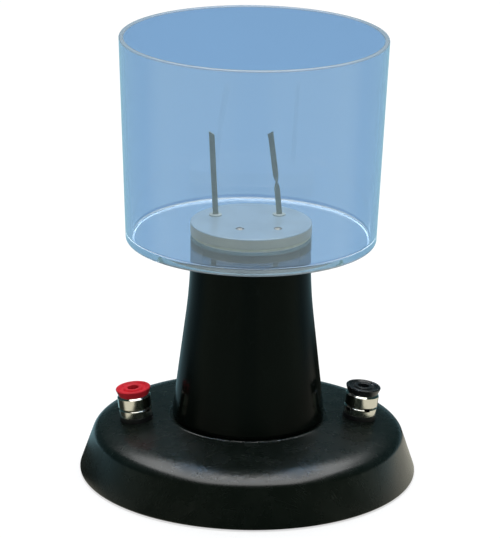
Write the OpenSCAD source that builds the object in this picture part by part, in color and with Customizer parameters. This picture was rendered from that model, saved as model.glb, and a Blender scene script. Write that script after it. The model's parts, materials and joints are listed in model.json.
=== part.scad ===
// Electrolysis apparatus. A clear cup stands on a flared pedestal and a round base.
// Two metal strip electrodes rise through a grey plug in the cup's floor. Leads inside the pedestal
// join them to a red and a black screw terminal, each with a socket down its middle.
// All lengths are in millimetres. The origin is on the table under the middle of the base.

/* [Base] */
// Diameter of the skirt at its lower edge
base_d = 130; // [122:1:150]
// How far the skirt spreads outwards on its way down, on each side
skirt_spread = 6.3; // [4:0.1:9]
// Height of the corner where skirt and sloping top would meet if it were sharp
base_corner_h = 18.1; // [16:0.1:26]
// Slope of the conical top in degrees
base_slope = 6.6; // [4:0.1:8]
// Radius of the rounded shoulder
base_round = 6.9; // [3:0.1:8]
// Wall of the moulded base
base_wall = 3; // [2.4:0.1:3.4]
// Wall of the skirt's lip outside the cover
lip_wall = 1.5; // [1:0.1:1.7]
// Flat seat left round the pedestal's foot
seat_margin = 0.5; // [0.2:0.1:2]
// Diameter of the wiring hole under the pedestal
wiring_hole_d = 28; // [24:1:34]

/* [Cover and feet] */
// Thickness of the cover under the base
cover_wall = 2; // [1.6:0.1:3]
// How far the cover is set up inside the skirt
cover_inset = 0.6; // [0.4:0.1:1.5]
// Gap between the cover's edge and the skirt
cover_gap = 0.3; // [0.2:0.05:0.6]
// How far the rubber feet lift the skirt off the table
foot_proud = 0.6; // [0.4:0.1:2]
// Diameter of a rubber foot
foot_d = 12; // [8:0.5:16]
// Depth of the recess that holds a foot
foot_recess = 0.8; // [0.5:0.1:1.2]
// Distance from a foot to the cover's edge
foot_edge = 3; // [2:0.5:8]
// Outside diameter of the bosses that take the cover screws
cover_boss_d = 8; // [6.5:0.5:10]
// Diameter of a cover screw's shank
cover_screw_d = 2.8; // [2:0.1:3.4]
// Length of a cover screw
cover_screw_l = 9; // [6:0.5:11]

/* [Pedestal] */
// Diameter of the pedestal's foot
pedestal_foot_d = 59; // [54:0.5:64]
// Diameter of the pedestal's neck
pedestal_neck_d = 46; // [45.5:0.1:48]
// Height of the pedestal from its seat to its flat top
pedestal_h = 70.3; // [68:0.1:110]
// Length of the straight neck at the top
pedestal_neck_l = 5.4; // [2:0.1:12]
// Radius of the curve that eases the flare into the neck
pedestal_blend = 195; // [120:5:220]
// Radius of the rounded edge of the foot
pedestal_round = 1.6; // [0.6:0.1:3]
// Wall of the moulded pedestal
pedestal_wall = 2.6; // [2:0.1:3.2]
// Thickness of the pedestal's top plate
pedestal_plate = 4; // [3:0.1:6]
// Outside diameter of the screw bosses in the foot
pedestal_boss_d = 7.2; // [6:0.2:8]
// Height of those bosses
pedestal_boss_h = 14; // [11:0.5:18]
// Diameter of a pedestal screw's shank
pedestal_screw_d = 3; // [2.4:0.1:3.6]
// Length of a pedestal screw
pedestal_screw_l = 12; // [9:0.5:13]

/* [Cup] */
// Outside diameter of the cup at its rim
cup_rim_d = 101.2; // [98:0.2:120]
// Outside diameter of the cup at its floor
cup_floor_d = 95.2; // [90:0.2:98]
// Height of the cup
cup_h = 78.6; // [60:0.2:120]
// Wall of the cup at its rim
cup_rim_wall = 1.9; // [1.2:0.1:2.4]
// Wall of the cup at its floor
cup_wall = 2.2; // [1.6:0.1:3]
// Thickness of the cup's floor
cup_floor = 2; // [1.6:0.1:3]
// Radius inside the corner of wall and floor
cup_inner_round = 1.6; // [0.8:0.1:4]
// Radius outside the corner of wall and floor
cup_outer_round = 1; // [0.4:0.1:2]
// Width of the shoulder round the pedestal's top that carries the cup
cup_shoulder = 1; // [0.8:0.1:2]
// Thickness of the gasket between that shoulder and the cup's floor
gasket_wall = 1.1; // [0.5:0.1:2]

/* [Plug] */
// How far the plug's flange stands out past the pedestal's neck
plug_overhang = 0.1; // [0:0.1:2]
// Thickness of the plug's flange
plug_flange = 4; // [3.4:0.1:8]
// Rounding of the flange's upper edge
plug_round = 0.5; // [0.2:0.1:1]
// Thickness of the sealing ring under the flange
seal_wall = 0.8; // [0.5:0.1:1.5]
// How far the sealing ring lies in from the flange's edge
seal_inset = 0.2; // [0:0.1:0.5]
// Diameter of a plug screw's head
plug_screw_head_d = 3.2; // [2.6:0.1:4]
// Diameter of a plug screw's shank
plug_screw_d = 2; // [1.6:0.1:2.4]
// Length of a plug screw
plug_screw_l = 16; // [14:0.5:17]
// Distance of the plug screws in front of the middle
plug_screw_y = 9.4; // [8:0.1:12]
// Place of the left plug screw from side to side
left_plug_screw_x = -4.9; // [-8:0.1:-3]
// Place of the right plug screw from side to side
right_plug_screw_x = 9.4; // [4:0.1:12]

/* [Electrodes] */
// Width of an electrode strip
strip_w = 2.15; // [1.8:0.05:2.5]
// Thickness of an electrode strip
strip_t = 0.8; // [0.6:0.05:1]
// Length of an electrode above the plug
electrode_h = 33.2; // [25:0.2:55]
// Drop of the slanting cut across the tip
tip_drop = 1.4; // [0.5:0.1:3]
// Distance of the electrodes behind the middle
electrode_y = 8; // [6:0.1:10]
// Distance of the left electrode from the plug's left edge, from side to side
left_electrode_edge = 9.9; // [8.6:0.1:13]
// Distance of the right electrode from the plug's right edge, from side to side
right_electrode_edge = 11.9; // [9.1:0.1:14]
// Lean of the left electrode in degrees
left_lean = 3.4; // [0:0.1:8]
// Lean of the lower part of the right electrode in degrees
right_lean = 5.6; // [0:0.1:8]
// Lean of the right electrode above its twist in degrees
right_upper_lean = 7.8; // [0:0.1:10]
// Height at which the right electrode's twist begins
twist_start = 7.5; // [4:0.1:10]
// Height over which the right electrode is twisted
twist_length = 10; // [8:0.5:14]
// Turn of the right electrode's twist in degrees
twist_turn = 150; // [90:5:180]
// Length of an electrode's tail below the plug's top
tail_l = 22; // [18:0.5:30]
// Diameter of the rubber grommet round an electrode
grommet_d = 5; // [4.2:0.1:6]
// Height of a grommet
grommet_h = 3; // [2:0.1:3.6]
// How far a grommet stands above the plug
grommet_proud = 0.5; // [0.2:0.1:1]
// Diameter of the brass clip on an electrode's tail
clip_d = 5.4; // [4.8:0.1:6.4]
// Length of that clip
clip_h = 10; // [8:0.5:14]
// How much of the tail the clip holds
clip_grip = 6; // [4:0.5:7]
// Diameter of a clip's grub screw
clip_screw_d = 1.8; // [1.4:0.1:2.2]

/* [Terminals] */
// Distance of each terminal from the base's shoulder corner
terminal_margin = 15.6; // [13:0.1:17]
// Diameter of the metal knob
knob_d = 12.9; // [12.4:0.1:14]
// Height of the metal knob
knob_h = 4.8; // [4.4:0.1:7]
// Chamfer round the top of knob and collar
knob_chamfer = 0.7; // [0.4:0.1:1.2]
// Diameter of the coloured cap at its top
cap_d = 13.5; // [12.6:0.1:15]
// Height of the coloured cap
cap_h = 2.8; // [1.8:0.1:4]
// How much narrower the cap is at its lower edge
cap_taper = 0.85; // [0.2:0.1:1.2]
// Width of the cap's raised rim
cap_rim = 1.1; // [0.8:0.1:1.6]
// Depth of the ring-shaped hollow in the cap's top
cap_hollow = 0.7; // [0.2:0.1:0.9]
// Diameter of the raised boss round the socket
cap_boss_d = 7; // [6.2:0.1:8]
// Diameter of the fixed metal collar
collar_d = 12.6; // [12:0.1:14]
// Height of the fixed metal collar
collar_h = 3.4; // [2.4:0.1:5]
// Width of the wire slot across the collar
slot_w = 2.3; // [1.6:0.1:3]
// Depth of the wire slot
slot_h = 1.2; // [0.8:0.1:1.6]
// Direction of the red terminal's wire slot, from the front in degrees
red_slot_turn = 84; // [60:1:100]
// Direction of the black terminal's wire slot, from the front in degrees
black_slot_turn = 19; // [0:1:40]
// Diameter of the black insulating washer
insulator_d = 12.8; // [12:0.1:15]
// Height of the insulating washer above the base
insulator_h = 1.9; // [1.2:0.1:3]
// Depth of the seat that the insulating washer is let into
insulator_seat = 0.2; // [0.1:0.1:0.5]
// Outside diameter of the threaded stem
stem_d = 6.8; // [6.4:0.1:7.2]
// Diameter of the socket in the stem
socket_d = 4; // [3.8:0.05:4.2]
// Depth of the socket
socket_l = 19; // [16:0.5:19.5]
// Thickness of the stem left below the socket
socket_floor = 2; // [1:0.5:3]
// Gap all round a plug in the hole through the cap
cap_hole_gap = 0.2; // [0.1:0.1:0.5]
// Diameter of the wire hole across the stem
wire_hole_d = 1.6; // [1:0.1:2]
// Wall of the knob round the clamp washer
knob_wall = 1.1; // [0.8:0.1:2]
// Thickness of the clamp washer that sits in the knob
clamp_washer_h = 1; // [0.8:0.1:1.4]
// Thickness of the pad under the base's top at a terminal
pad_h = 0.8; // [0.4:0.1:1.6]
// Diameter of the bush's flange
bush_flange_d = 13.6; // [12:0.1:15]
// Thickness of the bush's flange
bush_flange_h = 1.5; // [1:0.1:2]
// Wall of the bush's sleeve
bush_wall = 1.1; // [0.8:0.1:1.5]
// Thickness of the solder tag
tag_t = 0.6; // [0.4:0.1:1]
// Width of the solder tag's tail
tag_w = 4; // [3.2:0.1:5]
// Reach of the solder tag's tail from the stem's axis
tag_l = 12; // [11:0.5:14]
// Width of the nut across its flats
nut_af = 10; // [9:0.5:11]
// Height of the nut
nut_h = 3; // [2:0.1:4]
// How far the stem stands out below the nut
stem_spare = 3; // [2.5:0.1:4]

/* [Leads] */
// Diameter of an insulated lead
lead_d = 2.4; // [1.8:0.1:2.6]

/* [Fits] */
// Radial gap of a fixed piece in its hole
fit_gap = 0.05; // [0.02:0.01:0.1]
// Radial gap of the turning knob on its stem
running_gap = 0.08; // [0.05:0.01:0.1]
// Gap between the fixed collar and what turns or slides above it
lift_gap = 0.1; // [0.05:0.01:0.3]
// Radial gap of a screw in its clearance hole
screw_gap = 0.2; // [0.1:0.05:0.4]

/* [Hidden] */
$fn = 96;
arc_steps = 10;
cut = 1;
skin = 0.01;

// Sides of the two terminals: the red one on the left, the black one on the right
LEFT = -1;
RIGHT = 1;

// Base
base_r = base_d / 2;
corner_r = base_r - skirt_spread;
corner_z = foot_proud + base_corner_h;
skirt_lean = skirt_spread / base_corner_h;
rise = tan(base_slope);
seat_r = pedestal_foot_d / 2 + seat_margin;
seat_z = top_z(seat_r);
least_round = 0.5;
inner_round = max(base_round - base_wall, least_round);

// Cover, feet and screws below
cover_z = foot_proud + cover_inset;
cover_top = cover_z + cover_wall;
rabbet_r = skirt_r(cover_top) - lip_wall;
cover_r = rabbet_r - cover_gap;
foot_ring_r = cover_r - foot_edge - foot_d / 2;
cover_boss_r = corner_r - base_wall - cover_boss_d / 2;
cover_boss_top = top_z(cover_boss_r + cover_boss_d / 2) - base_wall / 2;
screw_head_share = 1.9;
cover_head_d = screw_head_share * cover_screw_d;
cover_head_h = (cover_head_d - cover_screw_d) / 2;
cross_share = 0.5;
cross_depth = 0.9;

// Pedestal
foot_r = pedestal_foot_d / 2;
neck_r = pedestal_neck_d / 2;
pedestal_top = seat_z + pedestal_h;
plate_z = pedestal_top - pedestal_plate;
// Angle of the straight flare, from the vertical, that runs into the blend's arc
flare_h = pedestal_h - pedestal_neck_l;
flare_end = [pedestal_blend - foot_r + neck_r, flare_h];
pedestal_flare = atan2(flare_end[1], flare_end[0]) - acos(pedestal_blend / norm(flare_end));
pedestal_boss_r = foot_r - pedestal_wall - pedestal_boss_d / 2;
pedestal_mid_wall = pedestal_wall / 2;
pan_head_share = 0.6;
pedestal_head_d = screw_head_share * pedestal_screw_d;
pedestal_head_h = pan_head_share * pedestal_screw_d;

// Cup and plug
cup_z = pedestal_top + gasket_wall;
cup_rim_z = cup_z + cup_h;
plug_r = neck_r + plug_overhang;
plug_neck_r = neck_r - cup_shoulder;
neck_hole_r = plug_neck_r + fit_gap;
floor_z = cup_z + cup_floor;
flange_z = floor_z + seal_wall;
plug_top = flange_z + plug_flange;
plug_screw_head_h = (plug_screw_head_d - plug_screw_d) / 2;
plug_boss_share = 2.6;
plug_boss_d = plug_boss_share * plug_screw_d;
plug_boss_floor = 2;
plug_boss_h = plug_screw_l - (plug_top - plate_z) + plug_boss_floor;

// Electrodes
left_electrode_x = left_electrode_edge - plug_r;
right_electrode_x = plug_r - right_electrode_edge;
electrode_hole_d = norm([strip_w, strip_t]) + 2 * screw_gap;
bend_h = grommet_proud + 0.5;
tail_z = plug_top - tail_l;
clip_top = tail_z + clip_grip;
clip_z = clip_top - clip_h;

// Terminals, in the terminal's own frame: 0 is the base's surface and Z is the stem's axis
terminal_x = corner_r - terminal_margin;
collar_z = insulator_h;
knob_z = collar_z + collar_h + lift_gap;
cap_z = knob_z + knob_h;
cap_top = cap_z + cap_h;
washer_hollow_r = knob_d / 2 - knob_wall;
washer_hollow_h = clamp_washer_h + lift_gap;
clamp_washer_r = washer_hollow_r - lift_gap - fit_gap;
spigot_r = clamp_washer_r - 0.5;
spigot_h = 1.2;
spigot_gap = 0.1;
pad_d = bush_flange_d + 2;
cap_edge_round = 0.5;
small_edge = 0.3;
stem_top = cap_z - small_edge;
bush_z = -base_wall - pad_h - bush_flange_h;
tag_z = bush_z - tag_t;
nut_z = tag_z - nut_h;
socket_z = stem_top - socket_l;
stem_z = min(nut_z - stem_spare, socket_z - socket_floor);
stem_r = stem_d / 2;
bush_r = stem_r + fit_gap + bush_wall;

// Leads: how far a lead's end lies in from the tag's end, and how far it runs straight down from there
solder_inset = 2;
lead_drop = 2.5;

// Radius of the skirt's outside at a height
function skirt_r(z) = corner_r + (corner_z - z) * skirt_lean;

// Height of the sloping top at a radius
function top_z(r) = corner_z + (corner_r - r) * rise;

// The skirt's inner corner: both outer lines moved in by the wall
function inner_corner(w) = let(
  b = w * (1 - skirt_lean) / (1 - rise * skirt_lean),
  a = w - b * rise
) [corner_r - b, corner_z - a];

function unit(v) = v / norm(v);

// Points of an arc of radius r that rounds the corner b between a and c
function corner_arc(a, b, c, r, steps = arc_steps) = let(
  u = unit(a - b),
  v = unit(c - b),
  half = acos(u * v) / 2,
  m = b + unit(u + v) * r / sin(half),
  s = b + u * r / tan(half) - m,
  e = b + v * r / tan(half) - m,
  from = atan2(s[1], s[0]),
  raw = atan2(e[1], e[0]) - from,
  sweep = raw > 180 ? raw - 360 : raw < -180 ? raw + 360 : raw
) [for (i = [0 : steps]) m + r * [cos(from + sweep * i / steps), sin(from + sweep * i / steps)]];

// Ring with a bore, standing on z
module ring(z, h, d, bore) {
  translate([0, 0, z]) difference() {
    cylinder(h = h, d = d);
    translate([0, 0, -cut]) cylinder(h = h + 2 * cut, d = bore);
  }
}

// Children at each of a number of places round a circle
module around(count, r, from = 0) {
  for (i = [0 : count - 1]) rotate([0, 0, from + i * 360 / count]) translate([r, 0, 0]) children();
}

// Children in the frame of one terminal, square to the sloping top, with X towards the middle of the base
module at_terminal(side) {
  rotate([0, 0, side == LEFT ? 0 : 180])
    translate([-terminal_x, 0, top_z(terminal_x)])
      rotate([0, -base_slope, 0])
        children();
}

module at_left_electrode() {
  translate([left_electrode_x, electrode_y, 0]) children();
}

module at_right_electrode() {
  translate([right_electrode_x, electrode_y, 0]) children();
}

module at_plug_screws() {
  for (x = [left_plug_screw_x, right_plug_screw_x]) translate([x, -plug_screw_y, 0]) children();
}

// Base: flared skirt, rounded shoulder and shallow cone with a flat seat in the middle

module base_outside() {
  a = [base_r, foot_proud];
  b = [corner_r, corner_z];
  c = [seat_r, seat_z];
  shoulder = corner_arc(a, b, c, base_round);
  rotate_extrude() polygon(concat([[0, foot_proud], a], shoulder, [c, [0, seat_z]]));
}

module base_hollow() {
  a = [skirt_r(cover_top) - base_wall, cover_top];
  b = inner_corner(base_wall);
  c = [seat_r, seat_z - base_wall];
  low = [[0, foot_proud - cut], [rabbet_r, foot_proud - cut], [rabbet_r, cover_top], a];
  rotate_extrude() polygon(concat(low, corner_arc(a, b, c, inner_round), [c, [0, c[1]]]));
}

module base_shell() {
  color([0.10, 0.12, 0.13]) difference() {
    union() {
      difference() {
        base_outside();
        base_hollow();
      }
      around(4, cover_boss_r, 45) translate([0, 0, cover_top])
        cylinder(h = cover_boss_top - cover_top, d = cover_boss_d);
      for (side = [LEFT, RIGHT]) at_terminal(side)
        translate([0, 0, -base_wall - pad_h]) cylinder(h = base_wall / 2 + pad_h, d = pad_d);
    }
    around(4, cover_boss_r, 45) translate([0, 0, cover_top - cut])
      cylinder(h = cover_screw_l + cut, d = cover_screw_d + 2 * fit_gap);
    for (side = [LEFT, RIGHT]) at_terminal(side) {
      translate([0, 0, -insulator_seat]) cylinder(h = insulator_h, d = insulator_d + 2 * fit_gap);
      translate([0, 0, bush_z]) cylinder(h = base_wall + pad_h + bush_flange_h, r = bush_r + fit_gap);
    }
    translate([0, 0, seat_z - base_wall - cut]) cylinder(h = base_wall + 2 * cut, d = wiring_hole_d);
    around(3, pedestal_boss_r, 90) translate([0, 0, seat_z - base_wall - cut])
      cylinder(h = base_wall + 2 * cut, d = pedestal_screw_d + 2 * screw_gap);
  }
}

module base_cover() {
  color([0.13, 0.14, 0.15]) difference() {
    translate([0, 0, cover_z]) cylinder(h = cover_wall, r = cover_r);
    around(4, foot_ring_r) translate([0, 0, cover_z - cut])
      cylinder(h = foot_recess + cut, d = foot_d + 2 * fit_gap);
    around(4, cover_boss_r, 45) translate([0, 0, cover_z]) {
      translate([0, 0, -cut]) cylinder(h = cover_wall + 2 * cut, d = cover_screw_d + 2 * screw_gap);
      screw_countersink(cover_head_d, cover_screw_d);
    }
  }
}

// Countersink for a flat head, from the surface at 0 upwards
module screw_countersink(head_d, shank_d) {
  translate([0, 0, -cut]) cylinder(h = cut + skin, d = head_d + 2 * fit_gap);
  cylinder(h = (head_d - shank_d) / 2, d1 = head_d + 2 * fit_gap, d2 = shank_d + 2 * fit_gap);
}

module rubber_feet() {
  color([0.07, 0.07, 0.07]) around(4, foot_ring_r)
    rotate_extrude() polygon([
      [0, 0], [foot_d / 2 - foot_proud / 2, 0], [foot_d / 2, foot_proud / 2],
      [foot_d / 2, cover_z + foot_recess], [0, cover_z + foot_recess]
    ]);
}

// Countersunk screws that hold the cover, heads down
module cover_screws() {
  head_z = cover_z + fit_gap;
  color([0.55, 0.55, 0.53]) around(4, cover_boss_r, 45) difference() {
    union() {
      translate([0, 0, head_z])
        cylinder(h = cover_head_h - fit_gap, d1 = cover_head_d - 2 * fit_gap, d2 = cover_screw_d);
      translate([0, 0, head_z]) cylinder(h = cover_screw_l, d = cover_screw_d);
    }
    cross_slot(head_z, cover_head_d);
  }
}

// Cross-shaped recess in a screw's head, which opens downwards
module cross_slot(z, head_d) {
  w = cross_share * head_d;
  for (turn = [0, 90]) rotate([0, 0, turn])
    translate([-w / 2, -w / 10, z - cut]) cube([w, w / 5, cross_depth + cut]);
}

// Pedestal: foot, straight flare and a long arc into the neck

module pedestal_profile(inset, z0, z1) {
  start_r = neck_r + pedestal_blend * (1 - cos(pedestal_flare));
  start_z = seat_z + (foot_r - start_r) / tan(pedestal_flare);
  foot = inset == 0
    ? corner_arc([0, z0], [foot_r, z0], [start_r, start_z], pedestal_round)
    : [[foot_r - inset, z0]];
  polygon(concat(
    [[0, z0]],
    foot,
    [for (i = [0 : arc_steps]) let(t = pedestal_flare * (1 - i / arc_steps))
      [neck_r - inset + pedestal_blend * (1 - cos(t)),
       start_z + pedestal_blend * (sin(pedestal_flare) - sin(t))]],
    [[neck_r - inset, z1], [0, z1]]
  ));
}

module pedestal() {
  color([0.05, 0.06, 0.06]) difference() {
    union() {
      difference() {
        rotate_extrude() pedestal_profile(0, seat_z, pedestal_top);
        rotate_extrude() pedestal_profile(pedestal_wall, seat_z - cut, plate_z);
      }
      intersection() {
        around(3, pedestal_boss_r, 90) translate([0, 0, seat_z]) pedestal_boss();
        rotate_extrude() pedestal_profile(pedestal_mid_wall, seat_z - cut, plate_z);
      }
      at_plug_screws() translate([0, 0, plate_z - plug_boss_h])
        cylinder(h = plug_boss_h + cut, d = plug_boss_d);
    }
    around(3, pedestal_boss_r, 90) translate([0, 0, seat_z - cut])
      cylinder(h = pedestal_screw_l + cut, d = pedestal_screw_d + 2 * fit_gap);
    at_plug_screws() translate([0, 0, plate_z - plug_boss_h - cut])
      cylinder(h = pedestal_plate + plug_boss_h + 2 * cut, d = plug_screw_d + 2 * fit_gap);
    at_left_electrode() clip_passage();
    at_right_electrode() clip_passage();
  }
}

// Screw boss with a rib that joins it to the wall
module pedestal_boss() {
  cylinder(h = pedestal_boss_h, d = pedestal_boss_d);
  translate([0, -pedestal_boss_d / 4, 0])
    cube([pedestal_boss_d / 2 + pedestal_wall, pedestal_boss_d / 2, pedestal_boss_h]);
}

// Hole in the top plate that a clip goes up through
module clip_passage() {
  translate([0, 0, plate_z - cut]) cylinder(h = pedestal_plate + 2 * cut, d = clip_d + 2 * screw_gap);
}

// Pan-headed screws up through the base into the pedestal's foot
module pedestal_screws() {
  head_z = seat_z - base_wall - pedestal_head_h;
  color([0.55, 0.55, 0.53]) around(3, pedestal_boss_r, 90) difference() {
    union() {
      translate([0, 0, head_z]) cylinder(h = pedestal_head_h, d = pedestal_head_d);
      translate([0, 0, head_z]) cylinder(h = pedestal_screw_l, d = pedestal_screw_d);
    }
    cross_slot(head_z, pedestal_head_d);
  }
}

// Cup: tapered clear wall with a hole in its floor for the plug's neck
module cup() {
  lip = cup_rim_wall / 3;
  low_r = cup_floor_d / 2;
  foot_out = [low_r, cup_z];
  foot_in = [low_r - cup_wall + (cup_rim_d / 2 - low_r) * cup_floor / cup_h, floor_z];
  top_out = [cup_rim_d / 2, cup_rim_z];
  top_in = [cup_rim_d / 2 - cup_rim_wall, cup_rim_z];
  outer = corner_arc([0, cup_z], foot_out, top_out, cup_outer_round);
  rim_out = corner_arc(foot_out, top_out, [0, cup_rim_z], lip, 4);
  rim_in = corner_arc(top_out, top_in, foot_in, lip, 4);
  inner = corner_arc(top_in, foot_in, [0, floor_z], cup_inner_round);
  color([0.62, 0.78, 0.9, 0.4]) rotate_extrude()
    polygon(concat([[neck_hole_r, cup_z]], outer, rim_out, rim_in, inner, [[neck_hole_r, floor_z]]));
}

// Flat gasket between the pedestal's top and the cup's floor, round the plug's neck
module cup_gasket() {
  color([0.60, 0.66, 0.62]) ring(pedestal_top, gasket_wall, 2 * neck_r, 2 * neck_hole_r);
}

// Plug: flange on the cup's floor, neck down to the pedestal, with holes for electrodes and screws
module plug() {
  edge = corner_arc([plug_r, flange_z], [plug_r, plug_top], [0, plug_top], plug_round, 5);
  color([0.60, 0.66, 0.68]) difference() {
    rotate_extrude() polygon(concat(
      [[0, pedestal_top], [plug_neck_r, pedestal_top], [plug_neck_r, flange_z], [plug_r, flange_z]],
      edge,
      [[0, plug_top]]
    ));
    at_left_electrode() electrode_hole();
    at_right_electrode() electrode_hole();
    at_plug_screws() translate([0, 0, plug_top]) mirror([0, 0, 1]) {
      translate([0, 0, -cut])
        cylinder(h = plug_top - pedestal_top + 2 * cut, d = plug_screw_d + 2 * fit_gap);
      screw_countersink(plug_screw_head_d, plug_screw_d);
    }
  }
}

// Stepped hole for one electrode: a round pocket for its grommet over a plain hole
module electrode_hole() {
  translate([0, 0, pedestal_top - cut])
    cylinder(h = plug_top - pedestal_top + 2 * cut, d = electrode_hole_d);
  translate([0, 0, plug_top + grommet_proud - grommet_h])
    cylinder(h = grommet_h + cut, d = grommet_d + 2 * fit_gap);
}

// Flat rubber ring between the plug's flange and the cup's floor
module plug_seal() {
  color([0.36, 0.40, 0.40]) ring(floor_z, seal_wall, 2 * (plug_r - seal_inset), 2 * neck_hole_r);
}

// Countersunk screws through the plug into the pedestal
module plug_screws() {
  slot = plug_screw_head_d / 6;
  color([0.72, 0.76, 0.78]) at_plug_screws() difference() {
    union() {
      translate([0, 0, plug_top - plug_screw_l]) cylinder(h = plug_screw_l, d = plug_screw_d);
      translate([0, 0, plug_top - plug_screw_head_h])
        cylinder(h = plug_screw_head_h, d1 = plug_screw_d, d2 = plug_screw_head_d);
    }
    rotate([0, 0, 25]) translate([-plug_screw_head_d, -slot / 2, plug_top - slot])
      cube([2 * plug_screw_head_d, slot, slot + cut]);
  }
}

// Electrodes: flat strips, upright in the plug, then leaning to the left

// One cross-section of a strip at a height above the plug, pushed left by shift and turned by turn.
// The slant lowers its right edge, for the cut across the tip.
function strip_section(h, shift, turn, slant = 0) = [
  for (c = [[-1, -1], [1, -1], [1, 1], [-1, 1]]) let(x = c[0] * strip_w / 2, y = c[1] * strip_t / 2)
    [x * cos(turn) - y * sin(turn) - shift,
     x * sin(turn) + y * cos(turn),
     plug_top + h - slant * (c[0] + 1) / 2]
];

// A solid through a row of four-sided sections
module strip(sections) {
  n = len(sections);
  points = [for (s = sections) for (p = s) p];
  sides = [
    for (i = [0 : n - 2]) for (k = [0 : 3]) let(a = 4 * i + k, b = 4 * i + (k + 1) % 4)
      for (t = [[a, a + 4, b], [b, a + 4, b + 4]]) t
  ];
  last = 4 * (n - 1);
  ends = [[0, 1, 2], [0, 2, 3], [last, last + 2, last + 1], [last, last + 3, last + 2]];
  polyhedron(points, concat(sides, ends));
}

module left_electrode() {
  color([0.42, 0.46, 0.43]) at_left_electrode() strip([
    strip_section(-tail_l, 0, 0),
    strip_section(bend_h, 0, 0),
    strip_section(electrode_h, (electrode_h - bend_h) * tan(left_lean), 0, tip_drop)
  ]);
}

module right_electrode() {
  steps = 12;
  start_shift = (twist_start - bend_h) * tan(right_lean);
  end_h = twist_start + twist_length;
  end_shift = start_shift + twist_length * tan((right_lean + right_upper_lean) / 2);
  tip_shift = end_shift + (electrode_h - end_h) * tan(right_upper_lean);
  color([0.42, 0.46, 0.43]) at_right_electrode() strip(concat(
    [strip_section(-tail_l, 0, 0), strip_section(bend_h, 0, 0)],
    [for (i = [0 : steps]) let(f = i / steps)
      strip_section(twist_start + f * twist_length,
                    start_shift + f * (end_shift - start_shift),
                    twist_turn * f * f * (3 - 2 * f))],
    [strip_section(electrode_h, tip_shift, twist_turn, tip_drop)]
  ));
}

// Rubber grommet that seals one electrode in the plug
module grommet() {
  color([0.62, 0.70, 0.70]) difference() {
    translate([0, 0, plug_top + grommet_proud - grommet_h]) cylinder(h = grommet_h, d = grommet_d);
    translate([-strip_w / 2 - fit_gap, -strip_t / 2 - fit_gap, plug_top - grommet_h - cut])
      cube([strip_w + 2 * fit_gap, strip_t + 2 * fit_gap, grommet_h + grommet_proud + 2 * cut]);
  }
}

module left_grommet() {
  at_left_electrode() grommet();
}

module right_grommet() {
  at_right_electrode() grommet();
}

// Brass clip that joins an electrode's tail to its lead
module clip() {
  color([0.75, 0.62, 0.32]) difference() {
    translate([0, 0, clip_z]) cylinder(h = clip_h, d = clip_d);
    translate([-strip_w / 2 - fit_gap, -strip_t / 2 - fit_gap, tail_z])
      cube([strip_w + 2 * fit_gap, strip_t + 2 * fit_gap, clip_grip + cut]);
    clip_screw_place() translate([0, 0, -cut])
      cylinder(h = (clip_d - strip_t) / 2 + cut, d = clip_screw_d + 2 * fit_gap);
  }
}

// Frame of the grub screw: it starts on the clip's front and points to the strip
module clip_screw_place() {
  translate([0, -clip_d / 2, tail_z + clip_grip / 2]) rotate([-90, 0, 0]) children();
}

module left_clip() {
  at_left_electrode() clip();
}

module right_clip() {
  at_right_electrode() clip();
}

module clip_screw() {
  reach = (clip_d - strip_t) / 2 - fit_gap;
  inset = clip_screw_d / 6;
  slot = clip_screw_d / 5;
  clip_screw_place() difference() {
    translate([0, 0, inset]) cylinder(h = reach - inset, d = clip_screw_d);
    translate([-clip_screw_d, -slot / 2, -cut]) cube([2 * clip_screw_d, slot, inset + slot + cut]);
  }
}

module clip_screws() {
  color([0.6, 0.6, 0.58]) {
    at_left_electrode() clip_screw();
    at_right_electrode() clip_screw();
  }
}

// Leads: from a solder tag down, in over the cover, and up the pedestal to a clip

// A point of a terminal's frame, in the whole object's frame
function terminal_point(side, x, z) = [
  side * (terminal_x + x * cos(base_slope) + z * sin(base_slope)),
  0,
  top_z(terminal_x) - x * sin(base_slope) + z * cos(base_slope)
];

function lead_route(side, x) = let(
  solder = terminal_point(side, solder_inset - tag_l, tag_z),
  below = terminal_point(side, solder_inset - tag_l, tag_z - lead_drop)
) [
  solder, below,
  [side * 28, 1, 8.5], [side * 22, 3, 7], [side * 15, 5, 8.5], [side * 9.5, 6.5, 14],
  [side * 8, 7, 22], [side * 9, 7.5, 34], [side * 10, 8, 50],
  [x, electrode_y, clip_z - 8], [x, electrode_y, clip_z]
];

// Point at a share t of the span i of a smooth curve through p
function curve_point(p, i, t) = let(
  a = i == 0 ? 2 * p[0] - p[1] : p[i - 1],
  b = p[i],
  c = p[i + 1],
  d = i + 2 > len(p) - 1 ? 2 * p[i + 1] - p[i] : p[i + 2]
) 0.5 * (2 * b + (c - a) * t + (2 * a - 5 * b + 4 * c - d) * t * t + (3 * b - a - 3 * c + d) * t * t * t);

module tube(route, r, per_span = 3, sides = 8) {
  path = concat(
    [for (i = [0 : len(route) - 2]) for (k = [0 : per_span - 1]) curve_point(route, i, k / per_span)],
    [route[len(route) - 1]]
  );
  n = len(path);
  first_way = route[1] - route[0];
  last_way = route[len(route) - 1] - route[len(route) - 2];
  points = [for (i = [0 : n - 1]) let(
    w = unit(i == 0 ? first_way : i == n - 1 ? last_way : path[i + 1] - path[i - 1]),
    u = unit(cross(w, [0, 1, 0])),
    v = cross(w, u)
  ) for (k = [0 : sides - 1]) path[i] + r * (cos(360 * k / sides) * u + sin(360 * k / sides) * v)];
  walls = [for (i = [0 : n - 2]) for (k = [0 : sides - 1]) let(
    a = sides * i + k,
    b = sides * i + (k + 1) % sides
  ) for (t = [[a, a + sides, b], [b, a + sides, b + sides]]) t];
  first = [for (k = [1 : sides - 2]) [0, k, k + 1]];
  end = sides * (n - 1);
  last = [for (k = [1 : sides - 2]) [end, end + k + 1, end + k]];
  polyhedron(points, concat(walls, first, last));
}

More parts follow.
